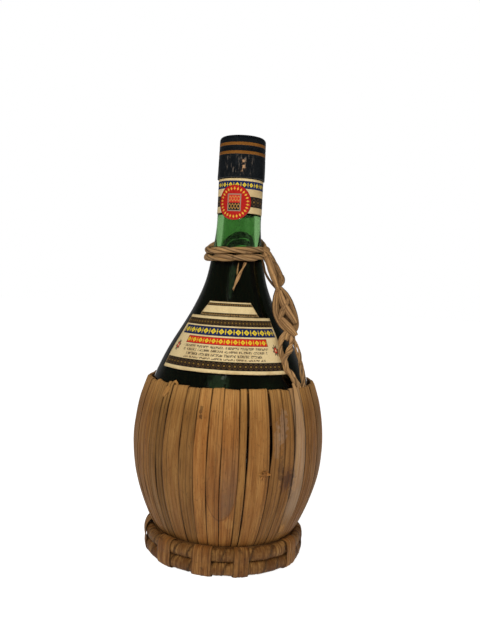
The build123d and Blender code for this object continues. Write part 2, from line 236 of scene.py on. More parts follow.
def makeBraidLines():  # two waves that cross, with beads between them; both coordinates in millimetres
    group, take, give = newGroup(
        "braidLines",
        [
            ("Along", "NodeSocketFloat", 0.0), ("Off Middle", "NodeSocketFloat", 0.0),
            ("Pitch", "NodeSocketFloat", 4.0), ("Swing", "NodeSocketFloat", 1.0), ("Line", "NodeSocketFloat", 0.25),
        ],
        [("Lines", "NodeSocketFloat"), ("Beads", "NodeSocketFloat")],
    )
    phase = times(group, calc(group, "DIVIDE", take["Along"], take["Pitch"]), fullTurn)
    wave = times(group, calc(group, "SINE", phase), take["Swing"])

    def onLine(height):
        far = calc(group, "ABSOLUTE", minus(group, take["Off Middle"], height))
        return flip(group, fadeUp(group, far, times(group, take["Line"], 0.5), take["Line"]))

    both = larger(group, onLine(wave), onLine(times(group, wave, -1.0)))
    plug(group, give["Lines"], both)
    cell = calc(group, "DIVIDE", take["Along"], times(group, take["Pitch"], 0.5))
    inCell = times(
        group, minus(group, calc(group, "FRACT", plus(group, cell, 0.5)), 0.5), times(group, take["Pitch"], 0.5)
    )
    beadRow = reachOf(
        group,
        calc(group, "ABSOLUTE", minus(group, calc(group, "ABSOLUTE", inCell), times(group, take["Pitch"], 0.25))),
        calc(group, "ABSOLUTE", take["Off Middle"]),
    )
    plug(
        group, give["Beads"],
        flip(group, fadeUp(group, beadRow, times(group, take["Line"], 0.9), times(group, take["Line"], 1.5))),
    )
    return group


plantFibre = makePlantFibre()
ageSpots = makeAgeSpots()
printBand = makePrintBand()
turnAndHeight = makeTurnAndHeight()
braidLines = makeBraidLines()


def band(tree, value, low, high, soft=0.08):
    return useGroup(tree, printBand, {"Value": value, "Low": low, "High": high, "Soft": soft})["Mask"]


def spotted(tree, place, scale, amount):
    return useGroup(tree, ageSpots, {"Place": place, "Scale": scale, "Amount": amount})["Mask"]


print("shared effects ready")

strawLook = {
    "pale": paint(198, 148, 84),
    "middle": paint(150, 97, 43),
    "brown": paint(120, 73, 31),
    "green": paint(122, 96, 46),
    "edge": paint(44, 26, 12),
    "stain": paint(98, 60, 32),
    "tideMark": paint(78, 42, 26),
    "greyStain": paint(104, 80, 62),
    "chalk": paint(190, 172, 152),
    "blemish": paint(50, 30, 16),
    "bleached": paint(222, 182, 130),
}


# fibre colours tuned by the piece's tint: red is tone, green is hue, alpha is painted shade in creases and folds, along
# edges and between parts
def strawColour(tree, place, across, along):
    tint = node(tree, "ShaderNodeAttribute", attribute_name="tint")
    parts = node(tree, "ShaderNodeSeparateColor", {0: tint.outputs["Color"]}).outputs
    flat = node(tree, "ShaderNodeSeparateXYZ", {0: place}).outputs
    seeded = node(tree, "ShaderNodeCombineXYZ", {0: flat[0], 1: flat[1], 2: parts[2]}).outputs[0]
    fibre = useGroup(tree, plantFibre, {"Place": seeded, "Across": across, "Along": along})
    colour = mixColour(tree, fibre["Streak"], strawLook["brown"], strawLook["middle"])
    lighter = times(tree, fibre["Fibre"], fibre["Blotch"], 0.5)
    colour = mixColour(tree, lighter, colour, strawLook["pale"])
    colour = mixColour(tree, times(tree, parts[1], 0.6), colour, strawLook["green"])
    level = fadeUp(tree, parts[0], 0.0, 1.0, 0.5, 1.5)
    grey = node(tree, "ShaderNodeCombineColor", {0: level, 1: level, 2: level}).outputs[0]
    colour = mixColour(tree, 1.0, colour, grey, "MULTIPLY")
    return colour, tint.outputs["Alpha"], fibre, seeded


def finishStraw(tree, shader, colour, paintedShade, fibre, depth):
    # painted shade: the tint's alpha darkens the colour towards the edge colour in creases, folds, along edges and
    # between parts
    colour = mixColour(tree, paintedShade, colour, strawLook["edge"])
    plugFinish(
        tree, shader, colour, fadeUp(tree, fibre["Streak"], 0.0, 1.0, 0.72, 0.5), bump(tree, fibre["Height"], depth)
    )


# 1 inside a patch on the casing, size is width, depth and height
def roundSpot(tree, place, turn, radius, height, size, ragged):
    angle = math.radians(turn)
    centre = (radius * mm * math.sin(angle), -radius * mm * math.cos(angle), height * mm)
    turned = node(tree, "ShaderNodeVectorMath", {0: place, 1: centre}, operation="SUBTRACT").outputs[0]
    shrunk = node(
        tree, "ShaderNodeVectorMath", {0: turned, 1: tuple(1 / (s * mm) for s in size)}, operation="MULTIPLY"
    ).outputs[0]
    far = node(tree, "ShaderNodeVectorMath", {0: shrunk}, operation="LENGTH").outputs["Value"]
    rough = times(tree, minus(tree, speckle(tree, place, 420.0), 0.5), ragged)
    return flip(tree, fadeUp(tree, plus(tree, far, rough), 0.75, 1.0))


leafMarks = {  # turns in degrees, heights in millimetres; a fade runs from its first height to its second
    "spill": {"turn": -2.4, "halfWidth": 9.0, "level": 56.0, "length": 20.5,
              "fade": (55.0, 100.0), "rimFade": (40.0, 70.0)},
    "greySpill": {"turns": (-2.6, 6.2), "fade": (46.0, 88.0)},
    "paleStrip": {"turns": (40.0, 50.2), "fade": (26.0, 44.0)},
    "rimHighlightFade": (94.0, 112.0),
    "spots": (  # turn, radius, height, width by depth by height, raggedness, colour, strength
        (32, 59, 91, (3.0, 6, 12), 1.9, "chalk", 0.16),
        (28, 60, 84, (2.0, 6, 12), 2.2, "chalk", 0.1),
        (37, 60, 60, (3.4, 8, 5.0), 2.4, "blemish", 0.75),
        (36, 60, 60, (6.5, 8, 8.5), 1.8, "stain", 0.5),
        (31, 60, 66, (1.6, 6, 9), 2.6, "blemish", 0.45),
        (40, 58, 51, (1.4, 6, 7), 2.6, "blemish", 0.4),
        (-16, 59, 98, (1.2, 6, 4.5), 3.4, "blemish", 0.7),
        (20.8, 60, 64.6, (1.9, 6, 2.4), 2.6, "blemish", 0.5),
        (3, 53, 33, (2.6, 6, 4.0), 1.2, "pale", 0.3),
        (-33, 60, 84, (3.0, 6, 2.0), 2.6, "pale", 0.1),
    ),
}


def makeDryLeaf():
    look, spill = leafMarks, leafMarks["spill"]
    material, tree, shader = newMaterial("dryLeaf", Specular_IOR_Level=0.3)
    colour, paintedShade, fibre, seeded = strawColour(tree, uvPlace(tree), 1300.0, 30.0)
    place = objectPlace(tree)
    where = useGroup(tree, turnAndHeight, {"Place": place})
    wobble = times(tree, minus(tree, speckle(tree, place, 60.0), 0.5), 3.0)
    # a spill has run down the front and dried to a tongue with a dark rim
    across = calc(
        tree, "DIVIDE", calc(tree, "ABSOLUTE", plus(tree, plus(tree, where["Turn"], -spill["turn"]), wobble)),
        spill["halfWidth"],
    )
    down = calc(tree, "DIVIDE", larger(tree, minus(tree, spill["level"], where["Height"]), 0.0), spill["length"])
    reach = reachOf(tree, across, down)
    inside = flip(tree, fadeUp(tree, reach, 0.9, 1.0))
    lower = flip(tree, fadeUp(tree, where["Height"], *spill["fade"]))
    cloud = fadeUp(tree, speckle(tree, place, 90.0), 0.3, 0.7, 0.5, 1.0)
    colour = mixColour(tree, times(tree, inside, lower, cloud, 0.34), colour, strawLook["stain"])
    grey = times(tree, inside, band(tree, where["Turn"], *look["greySpill"]["turns"], 1.2))
    grey = times(tree, grey, flip(tree, fadeUp(tree, where["Height"], *look["greySpill"]["fade"])))
    colour = mixColour(tree, times(tree, grey, cloud, 0.62), colour, strawLook["greyStain"])
    rim = times(
        tree, band(tree, reach, 0.96, 1.02, 0.025), flip(tree, fadeUp(tree, where["Height"], *spill["rimFade"]))
    )
    colour = mixColour(tree, times(tree, rim, 0.5), colour, strawLook["tideMark"])
    # rubbed, chalky and burnt places
    for turn, radius, height, size, ragged, name, strength in look["spots"]:
        mask = roundSpot(tree, place, turn, radius, height, size, ragged)
        colour = mixColour(tree, times(tree, mask, strength), colour, strawLook[name])
    dirt = spotted(tree, place, 240.0, 0.24)
    colour = mixColour(tree, times(tree, dirt, 0.32), colour, strawLook["stain"])
    fine = spotted(tree, stretched(tree, place, (1.0, 1.0, 0.5)), 900.0, 0.36)
    colour = mixColour(tree, times(tree, fine, 0.3), colour, strawLook["blemish"])
    cracks = spotted(tree, stretched(tree, seeded, (1.0, 0.03, 1.0)), 1100.0, 0.3)
    colour = mixColour(tree, times(tree, cracks, 0.45), colour, strawLook["edge"])
    strip = times(
        tree, band(tree, where["Turn"], *look["paleStrip"]["turns"], 0.5),
        fadeUp(tree, where["Height"], *look["paleStrip"]["fade"]),
    )
    colour = mixColour(
        tree, times(tree, strip, calc(tree, "MULTIPLY_ADD", fibre["Streak"], 0.2, 0.16)), colour, strawLook["chalk"]
    )
    # painted highlight: the top of the casing towards the rim is lighter, fibre by fibre
    rimHighlight = times(
        tree, fadeUp(tree, where["Height"], *look["rimHighlightFade"]), calc(tree, "MULTIPLY_ADD", fibre["Fibre"], 0.5, 0.14)
    )
    colour = mixColour(tree, rimHighlight, colour, strawLook["pale"])
    finishStraw(tree, shader, colour, paintedShade, fibre, 0.00022)
    return material


def makeStraw(name, across, along, depth, dirtScale, deepen, bleach):
    material, tree, shader = newMaterial(name, Specular_IOR_Level=0.3)
    colour, paintedShade, fibre, _ = strawColour(tree, uvPlace(tree), across, along)
    colour = mixColour(tree, bleach, colour, strawLook["bleached"])
    shade = times(tree, flip(tree, fibre["Streak"]), deepen)
    colour = mixColour(tree, shade, colour, strawLook["stain"])
    lit = times(tree, fibre["Blotch"], fibre["Streak"], deepen)
    colour = mixColour(tree, lit, colour, strawLook["pale"])
    dirt = spotted(tree, objectPlace(tree), dirtScale, 0.34)
    colour = mixColour(tree, times(tree, dirt, 0.5), colour, strawLook["edge"])
    finishStraw(tree, shader, colour, paintedShade, fibre, depth)
    return material


dryLeaf = makeDryLeaf()
twistedLeaf = makeStraw("twistedLeaf", 1700.0, 60.0, 0.0005, 260.0, 0.55, 0.55)
ropeStraw = makeStraw("ropeStraw", 1300.0, 110.0, 0.0005, 180.0, 0.45, 0.0)
tieLeaf = makeStraw("tieLeaf", 1300.0, 50.0, 0.0003, 200.0, 0.35, 0.0)

glassLook = {
    "glass": paint(118, 166, 106), "wine": paint(26, 9, 8), "cork": paint(176, 128, 84),
    "corkShade": paint(150, 104, 66), "corkDark": paint(96, 60, 36),
}


def makeGreenGlass():
    material, tree, shader = newMaterial("greenGlass", Transmission_Weight=1.0, IOR=1.5, Specular_IOR_Level=0.2)
    place = objectPlace(tree)
    swirl = speckle(tree, stretched(tree, place, (1.0, 1.0, 0.25)), 26.0, 2.0)
    low = tuple(c * 0.9 for c in glassLook["glass"][:3]) + (1.0,)
    plugFinish(
        tree, shader, mixColour(tree, fadeUp(tree, swirl, 0.3, 0.7), low, glassLook["glass"]),
        fadeUp(tree, spotted(tree, place, 160.0, 0.25), 0.0, 1.0, 0.02, 0.12), bump(tree, swirl, 0.0012, 0.5),
    )
    return material


def makeRedWine():
    material, tree, shader = newMaterial("redWine", Specular_IOR_Level=0.08)
    cloud = speckle(tree, objectPlace(tree), 18.0, 2.0)
    dark = tuple(c * 0.6 for c in glassLook["wine"][:3]) + (1.0,)
    plug(tree, shader.inputs["Base Color"], mixColour(tree, cloud, dark, glassLook["wine"]))
    plug(tree, shader.inputs["Roughness"], fadeUp(tree, cloud, 0.3, 0.7, 0.1, 0.2))
    return material


def makeCorkBark():
    material, tree, shader = newMaterial("corkBark", Specular_IOR_Level=0.3)
    place = objectPlace(tree)
    grain = speckle(tree, place, 700.0, 6.0, 0.7)
    pits = spotted(tree, stretched(tree, place, (1.0, 1.0, 0.35)), 520.0, 0.42)
    colour = mixColour(tree, fadeUp(tree, grain, 0.35, 0.65), glassLook["corkShade"], glassLook["cork"])
    colour = mixColour(tree, times(tree, pits, 0.8), colour, glassLook["corkDark"])
    plugFinish(
        tree, shader, colour, fadeUp(tree, grain, 0.0, 1.0, 0.75, 0.95), bump(tree, minus(tree, grain, pits), 0.0004)
    )
    return material


greenGlass, redWine, corkBark = makeGreenGlass(), makeRedWine(), makeCorkBark()

foilLook = {
    "foil": paint(9, 14, 18), "foilRub": paint(28, 32, 36), "gilt": paint(168, 108, 44), "bare": paint(190, 146, 106),
    "scratch": paint(132, 118, 104), "bands": ((251.1, 252.9), (256.4, 258.2)),
}


def makeCapsuleFoil():
    material, tree, shader = newMaterial("capsuleFoil", Specular_IOR_Level=0.5)
    place = objectPlace(tree)
    where = useGroup(tree, turnAndHeight, {"Place": place})
    rub = spotted(tree, stretched(tree, place, (1.0, 1.0, 0.35)), 260.0, 0.28)
    colour = mixColour(tree, times(tree, rub, 0.5), foilLook["foil"], foilLook["foilRub"])
    gilt = None
    for low, high in foilLook["bands"]:
        mask = band(tree, where["Height"], low, high, 0.12)
        gilt = mask if gilt is None else larger(tree, gilt, mask)
    worn = times(tree, gilt, fadeUp(tree, speckle(tree, place, 900.0), 0.2, 0.45))
    colour = mixColour(tree, worn, colour, foilLook["gilt"])
    # tan scuffs where the paint has gone, and scratches beside them
    near = times(tree, band(tree, where["Turn"], -2.0, 8.0, 4.0), band(tree, where["Height"], 240.6, 247.6, 1.2))
    chip = spotted(tree, stretched(tree, place, (1.0, 1.0, 0.7)), 560.0, 0.5)
    scuff = times(tree, near, chip)
    wide = times(tree, band(tree, where["Turn"], -42.0, 26.0, 8.0), band(tree, where["Height"], 238.5, 250.0, 1.5))
    scratch = times(tree, wide, spotted(tree, stretched(tree, place, (1.0, 1.0, 0.22)), 820.0, 0.42))
    colour = mixColour(tree, times(tree, scratch, 0.5), colour, foilLook["scratch"])
    colour = mixColour(tree, times(tree, scuff, 0.9), colour, foilLook["bare"])
    plug(tree, shader.inputs["Base Color"], colour)
    plug(tree, shader.inputs["Metallic"], times(tree, worn, 0.55))
    rough = fadeUp(tree, speckle(tree, place, 140.0), 0.3, 0.7, 0.3, 0.46)
    plug(tree, shader.inputs["Roughness"], calc(tree, "MULTIPLY_ADD", scuff, 0.3, rough))
    crinkle = calc(
        tree, "MULTIPLY_ADD", speckle(tree, stretched(tree, place, (1.0, 1.0, 0.4)), 240.0), 0.6,
        times(tree, gilt, 0.35),
    )
    plug(tree, shader.inputs["Normal"], bump(tree, crinkle, 0.0004))
    return material


paperLook = {
    "cream": paint(230, 206, 154), "creamShade": paint(216, 190, 138), "stain": paint(150, 110, 66),
    "rosette": paint(70, 52, 40), "oldCream": paint(192, 160, 108), "blue": paint(20, 36, 80),
    "navy": paint(12, 16, 34), "yellow": paint(226, 196, 44), "red": paint(204, 36, 24), "bronze": paint(84, 62, 36),
    "bronzeDark": paint(28, 21, 14), "gold": paint(190, 146, 66), "ink": paint(66, 48, 34),
}


def paperBase(tree, place):
    fibres = speckle(tree, place, 1500.0, 5.0, 0.6)
    colour = mixColour(tree, fadeUp(tree, fibres, 0.3, 0.7), paperLook["cream"], paperLook["creamShade"])
    aged = speckle(tree, place, 75.0, 4.0)
    return mixColour(tree, fadeUp(tree, aged, 0.45, 0.72, 0.0, 0.7), colour, paperLook["oldCream"]), fibres


# dark band with crossing waves and gilt beads
def braided(tree, colour, mask, along, height, middle, pitch, swing, line):
    lines = useGroup(
        tree, braidLines,
        {"Along": along, "Off Middle": minus(tree, height, middle), "Pitch": pitch, "Swing": swing, "Line": line},
    )
    figure = mixColour(tree, times(tree, lines["Lines"], 0.85), paperLook["bronzeDark"], paperLook["bronze"])
    figure = mixColour(tree, times(tree, lines["Beads"], 0.45), figure, paperLook["gold"])
    return mixColour(tree, mask, colour, figure), lines


def diamondRow(tree, along, height, middle, pitch, wide, tall):  # diamonds with a bead between each pair
    cell = minus(tree, calc(tree, "FRACT", calc(tree, "DIVIDE", along, pitch)), 0.5)
    aside = calc(tree, "ABSOLUTE", times(tree, cell, pitch))
    off = calc(tree, "ABSOLUTE", minus(tree, height, middle))
    reach = plus(tree, calc(tree, "DIVIDE", aside, wide), calc(tree, "DIVIDE", off, tall))
    diamond = minus(tree, fadeUp(tree, reach, 0.3, 0.38), fadeUp(tree, reach, 0.92, 1.0))
    heart = flip(tree, fadeUp(tree, reach, 0.16, 0.22))
    between = minus(tree, pitch / 2, aside)
    far = reachOf(tree, between, off)
    bead = flip(tree, fadeUp(tree, far, tall * 0.22, tall * 0.3))
    stem = times(
        tree, flip(tree, fadeUp(tree, between, wide * 0.1, wide * 0.16)),
        flip(tree, fadeUp(tree, off, tall * 0.8, tall * 0.9)),
    )
    return larger(tree, larger(tree, diamond, heart), larger(tree, bead, stem))


def finishPaper(tree, shader, colour, fibres, relief, edge):
    place = objectPlace(tree)
    worn = times(tree, edge, fadeUp(tree, speckle(tree, place, 800.0), 0.35, 0.6))
    colour = mixColour(tree, times(tree, worn, 0.8), colour, paperLook["oldCream"])
    stain = spotted(tree, place, 110.0, 0.24)
    colour = mixColour(tree, times(tree, stain, 0.3), colour, paperLook["stain"])
    plugFinish(
        tree, shader, colour, fadeUp(tree, fibres, 0.0, 1.0, 0.42, 0.62),
        bump(tree, calc(tree, "MULTIPLY_ADD", fibres, 0.25, relief), 0.00012),
    )


def labelPaper(name):
    material, tree, shader = newMaterial(name, Specular_IOR_Level=0.4, Coat_Roughness=0.3)
    place = objectPlace(tree)
    where = useGroup(tree, turnAndHeight, {"Place": place})
    edge = node(tree, "ShaderNodeAttribute", attribute_name="tint").outputs["Alpha"]
    colour, fibres = paperBase(tree, place)
    return material, tree, shader, where, edge, colour, fibres


shoulderPrint = {
    "turn": -8.0, "radius": 36.0,
    "topBand": (145.9, 149.7), "blue": (140.0, 145.1), "red": (134.8, 139.1), "lowBand": (121.1, 125.8),
    "blueEnds": (-53.0, 54.5), "redEnds": (-40.0, 41.5),
    "rosettes": (-49.5, 49.0), "rosetteLevel": 132.6, "rosetteRadius": 40.0,
    "rows": ((132.6, 134.0, 41.0), (130.5, 131.9, 39.0), (128.2, 129.8, 34.0), (126.4, 127.5, 36.0)),
}


def makeShoulderPaper():
    look = shoulderPrint
    material, tree, shader, where, edge, colour, fibres = labelPaper("shoulderPaper")
    height = where["Height"]
    offTurn = minus(tree, where["Turn"], look["turn"])
    along = times(tree, offTurn, math.radians(look["radius"]))
    relief = 0.0
    for low, high in (look["topBand"], look["lowBand"]):
        mask = band(tree, height, low, high)
        colour, lines = braided(tree, colour, mask, along, height, (low + high) / 2, 5.2, (high - low) * 0.36, 0.42)
        relief = calc(tree, "MULTIPLY_ADD", times(tree, lines["Lines"], mask), 0.5, relief)
    for name, ends, pitch, wide, tall in (("blue", "blueEnds", 5.4, 2.0, 1.75), ("red", "redEnds", 4.3, 1.5, 1.45)):
        low, high = look[name]
        mask = times(tree, band(tree, height, low, high), band(tree, offTurn, *look[ends], 0.15))
        figure = diamondRow(tree, along, height, (low + high) / 2, pitch, wide, tall)
        panel = mixColour(tree, figure, paperLook[name], paperLook["yellow"])
        frameLine = flip(
            tree,
            times(
                tree, band(tree, height, low + 0.3, high - 0.3, 0.05),
                band(tree, offTurn, look[ends][0] + 0.6, look[ends][1] - 0.6, 0.1),
            ),
        )
        panel = mixColour(tree, times(tree, frameLine, 0.7), panel, paperLook["navy"])
        colour = mixColour(tree, mask, colour, panel)
        relief = calc(tree, "MULTIPLY_ADD", times(tree, figure, mask), 0.5, relief)
    for number, (low, high, reach) in enumerate(look["rows"]):  # fine ornamental rules of strokes and gaps
        place = node(
            tree, "ShaderNodeCombineXYZ",
            {0: times(tree, along, 2.1), 1: calc(tree, "MULTIPLY_ADD", height, 0.9, number * 7.3)},
        ).outputs[0]
        strokes = fadeUp(tree, speckle(tree, place, 1.0, 1.0), 0.44, 0.5)
        breaks = calc(tree, "GREATER_THAN", calc(tree, "FRACT", times(tree, along, 0.118 + 0.013 * number)), 0.1)
        mask = times(
            tree, strokes, breaks,
            times(tree, band(tree, height, low, high, 0.15), band(tree, offTurn, -reach, reach, 0.3)),
        )
        colour = mixColour(tree, times(tree, mask, 0.85), colour, paperLook["ink"])
    for side in look["rosettes"]:
        aside = times(tree, minus(tree, offTurn, side), math.radians(look["rosetteRadius"]))
        up = times(tree, minus(tree, height, look["rosetteLevel"]), 0.72)
        far = reachOf(tree, aside, up)
        petal = times(tree, calc(tree, "SINE", times(tree, calc(tree, "ARCTAN2", up, aside), 8.0)), 0.45)
        flower = flip(tree, fadeUp(tree, minus(tree, far, petal), 1.9, 2.2))
        colour = mixColour(tree, times(tree, flower, 0.85), colour, paperLook["rosette"])
        colour = mixColour(tree, flip(tree, fadeUp(tree, far, 1.0, 1.2)), colour, paperLook["red"])
        colour = mixColour(tree, flip(tree, fadeUp(tree, far, 0.4, 0.55)), colour, paperLook["cream"])
    finishPaper(tree, shader, colour, fibres, relief, edge)
    return material


vintagePrint = {"radius": 25.0, "bands": ((151.7, 153.4), (157.6, 159.3))}


def makeVintagePaper():
    material, tree, shader, where, edge, colour, fibres = labelPaper("vintagePaper")
    height = where["Height"]
    along = times(tree, minus(tree, where["Turn"], shoulderPrint["turn"]), math.radians(vintagePrint["radius"]))
    relief = 0.0
    for low, high in vintagePrint["bands"]:
        mask = band(tree, height, low, high)
        colour, lines = braided(tree, colour, mask, along, height, (low + high) / 2, 2.8, 0.5, 0.26)
        relief = calc(tree, "MULTIPLY_ADD", times(tree, lines["Lines"], mask), 0.5, relief)
    finishPaper(tree, shader, colour, fibres, relief, edge)
    return material


neckPrint = {
    "blue": (229.85, 234.7), "dark": (218.9, 225.4), "edges": (215.25, 236.0), "radius": 14.0, "diamonds": 20,
    "braids": 12,
}


def makeNeckPaper():
    look = neckPrint
    material, tree, shader, where, edge, colour, fibres = labelPaper("neckPaper")
    height = where["Height"]
    along = times(tree, where["Turn"], math.radians(look["radius"]))
    low, high = look["blue"]
    figure = diamondRow(tree, along, height, (low + high) / 2, fullTurn * look["radius"] / look["diamonds"], 1.35, 1.5)
    panel = mixColour(tree, figure, paperLook["blue"], paperLook["yellow"])
    colour = mixColour(tree, band(tree, height, low, high), colour, panel)
    low, high = look["dark"]
    mask = band(tree, height, low, high)
    colour, lines = braided(
        tree, colour, mask, along, height, (low + high) / 2, fullTurn * look["radius"] / look["braids"], 2.2, 0.5
    )
    edge = flip(tree, band(tree, height, *look["edges"], 0.25))
    finishPaper(tree, shader, colour, fibres, times(tree, lines["Lines"], mask), edge)
    return material


sealLook = {
    "red": paint(184, 24, 16), "redShade": paint(168, 18, 12), "bead": paint(232, 176, 58),
    "frame": paint(150, 132, 112), "lowField": paint(20, 18, 16), "highField": paint(196, 44, 30),
    "motif": paint(206, 150, 74), "beads": 26, "beadRing": 0.8,
}


def makeSealPaper():  # its own UV runs from -1 to 1 across the disc
    material, tree, shader = newMaterial("sealPaper", Specular_IOR_Level=0.5)
    place = objectPlace(tree)
    across = node(tree, "ShaderNodeSeparateXYZ", {0: uvPlace(tree)}).outputs
    fibres = speckle(tree, place, 1400.0, 4.0)
    far = reachOf(tree, calc(tree, "ABSOLUTE", across[0]), calc(tree, "ABSOLUTE", across[1]))
    turn = calc(tree, "DIVIDE", calc(tree, "ARCTAN2", across[1], across[0]), fullTurn)
    colour = mixColour(tree, fadeUp(tree, fibres, 0.3, 0.7), sealLook["red"], sealLook["redShade"])
    cell = minus(tree, calc(tree, "FRACT", times(tree, turn, sealLook["beads"])), 0.5)
    aside = times(tree, cell, fullTurn * sealLook["beadRing"] / sealLook["beads"])
    beadFar = plus(
        tree, calc(tree, "DIVIDE", calc(tree, "ABSOLUTE", aside), 0.062),
        calc(tree, "DIVIDE", calc(tree, "ABSOLUTE", minus(tree, far, sealLook["beadRing"])), 0.11),
    )
    beads = flip(tree, fadeUp(tree, beadFar, 0.85, 1.1))
    colour = mixColour(tree, times(tree, beads, 0.9), colour, sealLook["bead"])
    shield = times(tree, band(tree, across[0], -0.4, 0.4, 0.015), band(tree, across[1], -0.5, 0.5, 0.015))
    inner = times(tree, band(tree, across[0], -0.34, 0.34, 0.015), band(tree, across[1], -0.44, 0.44, 0.015))
    field = mixColour(tree, fadeUp(tree, across[1], -0.04, 0.0), sealLook["lowField"], sealLook["highField"])
    motif = useGroup(
        tree, braidLines,
        {
            "Along": across[0], "Off Middle": minus(tree, calc(tree, "ABSOLUTE", across[1]), 0.22), "Pitch": 0.34,
            "Swing": 0.13, "Line": 0.05,
        },
    )
    field = mixColour(tree, times(tree, motif["Lines"], 0.7), field, sealLook["motif"])
    colour = mixColour(tree, shield, colour, sealLook["frame"])
    colour = mixColour(tree, inner, colour, field)
    plugFinish(
        tree, shader, colour, fadeUp(tree, fibres, 0.0, 1.0, 0.3, 0.5),
        bump(tree, calc(tree, "MULTIPLY_ADD", fibres, 0.3, beads), 0.0001),
    )
    return material


capsuleFoil, neckPaper, sealPaper = makeCapsuleFoil(), makeNeckPaper(), makeSealPaper()
shoulderPaper, vintagePaper = makeShoulderPaper(), makeVintagePaper()
print("materials ready")


def putMesh(name, points, faces, material, cornerUvs=None, tint=None):
    mesh = bpy.data.meshes.new(name)
    mesh.from_pydata(np.asarray(points, float).tolist(), [], faces)
    if cornerUvs is not None:
        mesh.uv_layers.new(name="UVMap").data.foreach_set("uv", np.asarray(cornerUvs, np.float32).ravel())
    if tint is not None:
        mesh.color_attributes.new(
            name="tint", type="FLOAT_COLOR", domain="POINT"
        ).data.foreach_set("color", np.asarray(tint, np.float32).ravel())
    mesh.materials.append(material)
    mesh.polygons.foreach_set("use_smooth", [True] * len(mesh.polygons))
    work = bmesh.new()
    work.from_mesh(mesh)
    bmesh.ops.recalc_face_normals(work, faces=work.faces)
    work.to_mesh(mesh)
    work.free()
    mesh.update()
    thing = bpy.data.objects.new(name, mesh)
    scene.collection.objects.link(thing)
    return thing


def loftData(rings, uvs, tint, first):  # closed rings in a row; each one's second half runs back beside its first
    rows, count = rings.shape[:2]
    faces, corners = [], []
    for i in range(rows - 1):
        for j in range(count):
            k = (j + 1) % count
            faces.append(
                (first + i * count + j, first + i * count + k, first + (i + 1) * count + k, first + (i + 1) * count + j)
            )
            corners += [uvs[i, j], uvs[i, j + 1], uvs[i + 1, j + 1], uvs[i + 1, j]]
    for i in (0, rows - 1):  # both ends are closed
        for j in range(count // 2 - 1):
            loop = [j, j + 1, count - 2 - j, count - 1 - j]
            faces.append(tuple(first + i * count + k for k in loop))
            corners += [uvs[i, k] for k in loop]
    return rings.reshape(-1, 3), faces, corners, tint.reshape(-1, 4)


def putLofts(name, lofts, material):  # several closed strands or strips as one piece
    points, faces, corners, tints, first = [], [], [], [], 0
    for rings, uvs, tint in lofts:
        p, f, c, t = loftData(rings, uvs, tint, first)
        points.append(p)
        faces += f
        corners += c
        tints.append(t)
        first += len(p)
    return putMesh(name, np.concatenate(points), faces, material, corners, np.concatenate(tints))


def lathe(name, outline, segments, material, shape=None):  # outline runs from axis to axis, or closes on itself
    outline = np.asarray(outline, float)
    onAxis = outline[0, 0] < 1e-9
    body = outline[1:-1] if onAxis else outline
    angles = np.arange(segments) * fullTurn / segments
    radius = np.repeat(body[:, 0][:, None], segments, 1)
    height = np.repeat(body[:, 1][:, None], segments, 1)
    if shape:
        radius, height = shape(radius, height, angles[None, :])
    points = np.stack([radius * np.sin(angles), -radius * np.cos(angles), height], 2).reshape(-1, 3)
    faces, rows = [], len(body)
    for i in range(rows - 1 if onAxis else rows):
        n = (i + 1) % rows
        for j in range(segments):
            k = (j + 1) % segments
            faces.append((i * segments + j, i * segments + k, n * segments + k, n * segments + j))
    if onAxis:
        points = np.concatenate([points, [[0, 0, outline[0, 1]], [0, 0, outline[-1, 1]]]])
        low, high = len(points) - 2, len(points) - 1
        faces += [(low, (j + 1) % segments, j) for j in range(segments)]
        last = (rows - 1) * segments
        faces += [(high, last + j, last + (j + 1) % segments) for j in range(segments)]
    return putMesh(name, points * mm, faces, material)


def clampedCurve(points, startWay, endWay):  # smooth curve through the points with these directions at its ends
    p = np.asarray(points, float)
    h = np.linalg.norm(np.diff(p, axis=0), axis=1)
    n = len(p)
    a, b = np.eye(n), np.zeros((n, 2))
    b[0], b[-1] = startWay, endWay
    for i in range(1, n - 1):
        a[i, i - 1 : i + 2] = 1 / h[i - 1], 2 / h[i - 1] + 2 / h[i], 1 / h[i]
        b[i] = 3 * ((p[i] - p[i - 1]) / h[i - 1] ** 2 + (p[i + 1] - p[i]) / h[i] ** 2)
    m = np.linalg.solve(a, b)
    out = []
    for i in range(n - 1):
        t = np.linspace(0, 1, 24, endpoint=i == n - 2)[:, None]
        piece = (2 * t**3 - 3 * t**2 + 1) * p[i] + (t**3 - 2 * t**2 + t) * h[i] * m[i]
        piece = piece + (3 * t**2 - 2 * t**3) * p[i + 1]
        out.append(piece + (t**3 - t**2) * h[i] * m[i + 1])
    return np.concatenate(out)


def runOf(line):  # length from the start at each point
    return np.concatenate([[0], np.cumsum(np.linalg.norm(np.diff(line, axis=0), axis=1))])


def drift(dice, run, size, step, beyond):  # slow random line along a run
    knots = np.arange(0, run[-1] + beyond, step)
    return np.interp(run, knots, dice.normal(0, size, len(knots)))


def softRibs(dice, size, count):
    return np.convolve(dice.normal(0, size, count + 2), (0.25, 0.5, 0.25), "valid")


def ease(x):
    x = np.clip(x, 0, 1)
    return x * x * (3 - 2 * x)


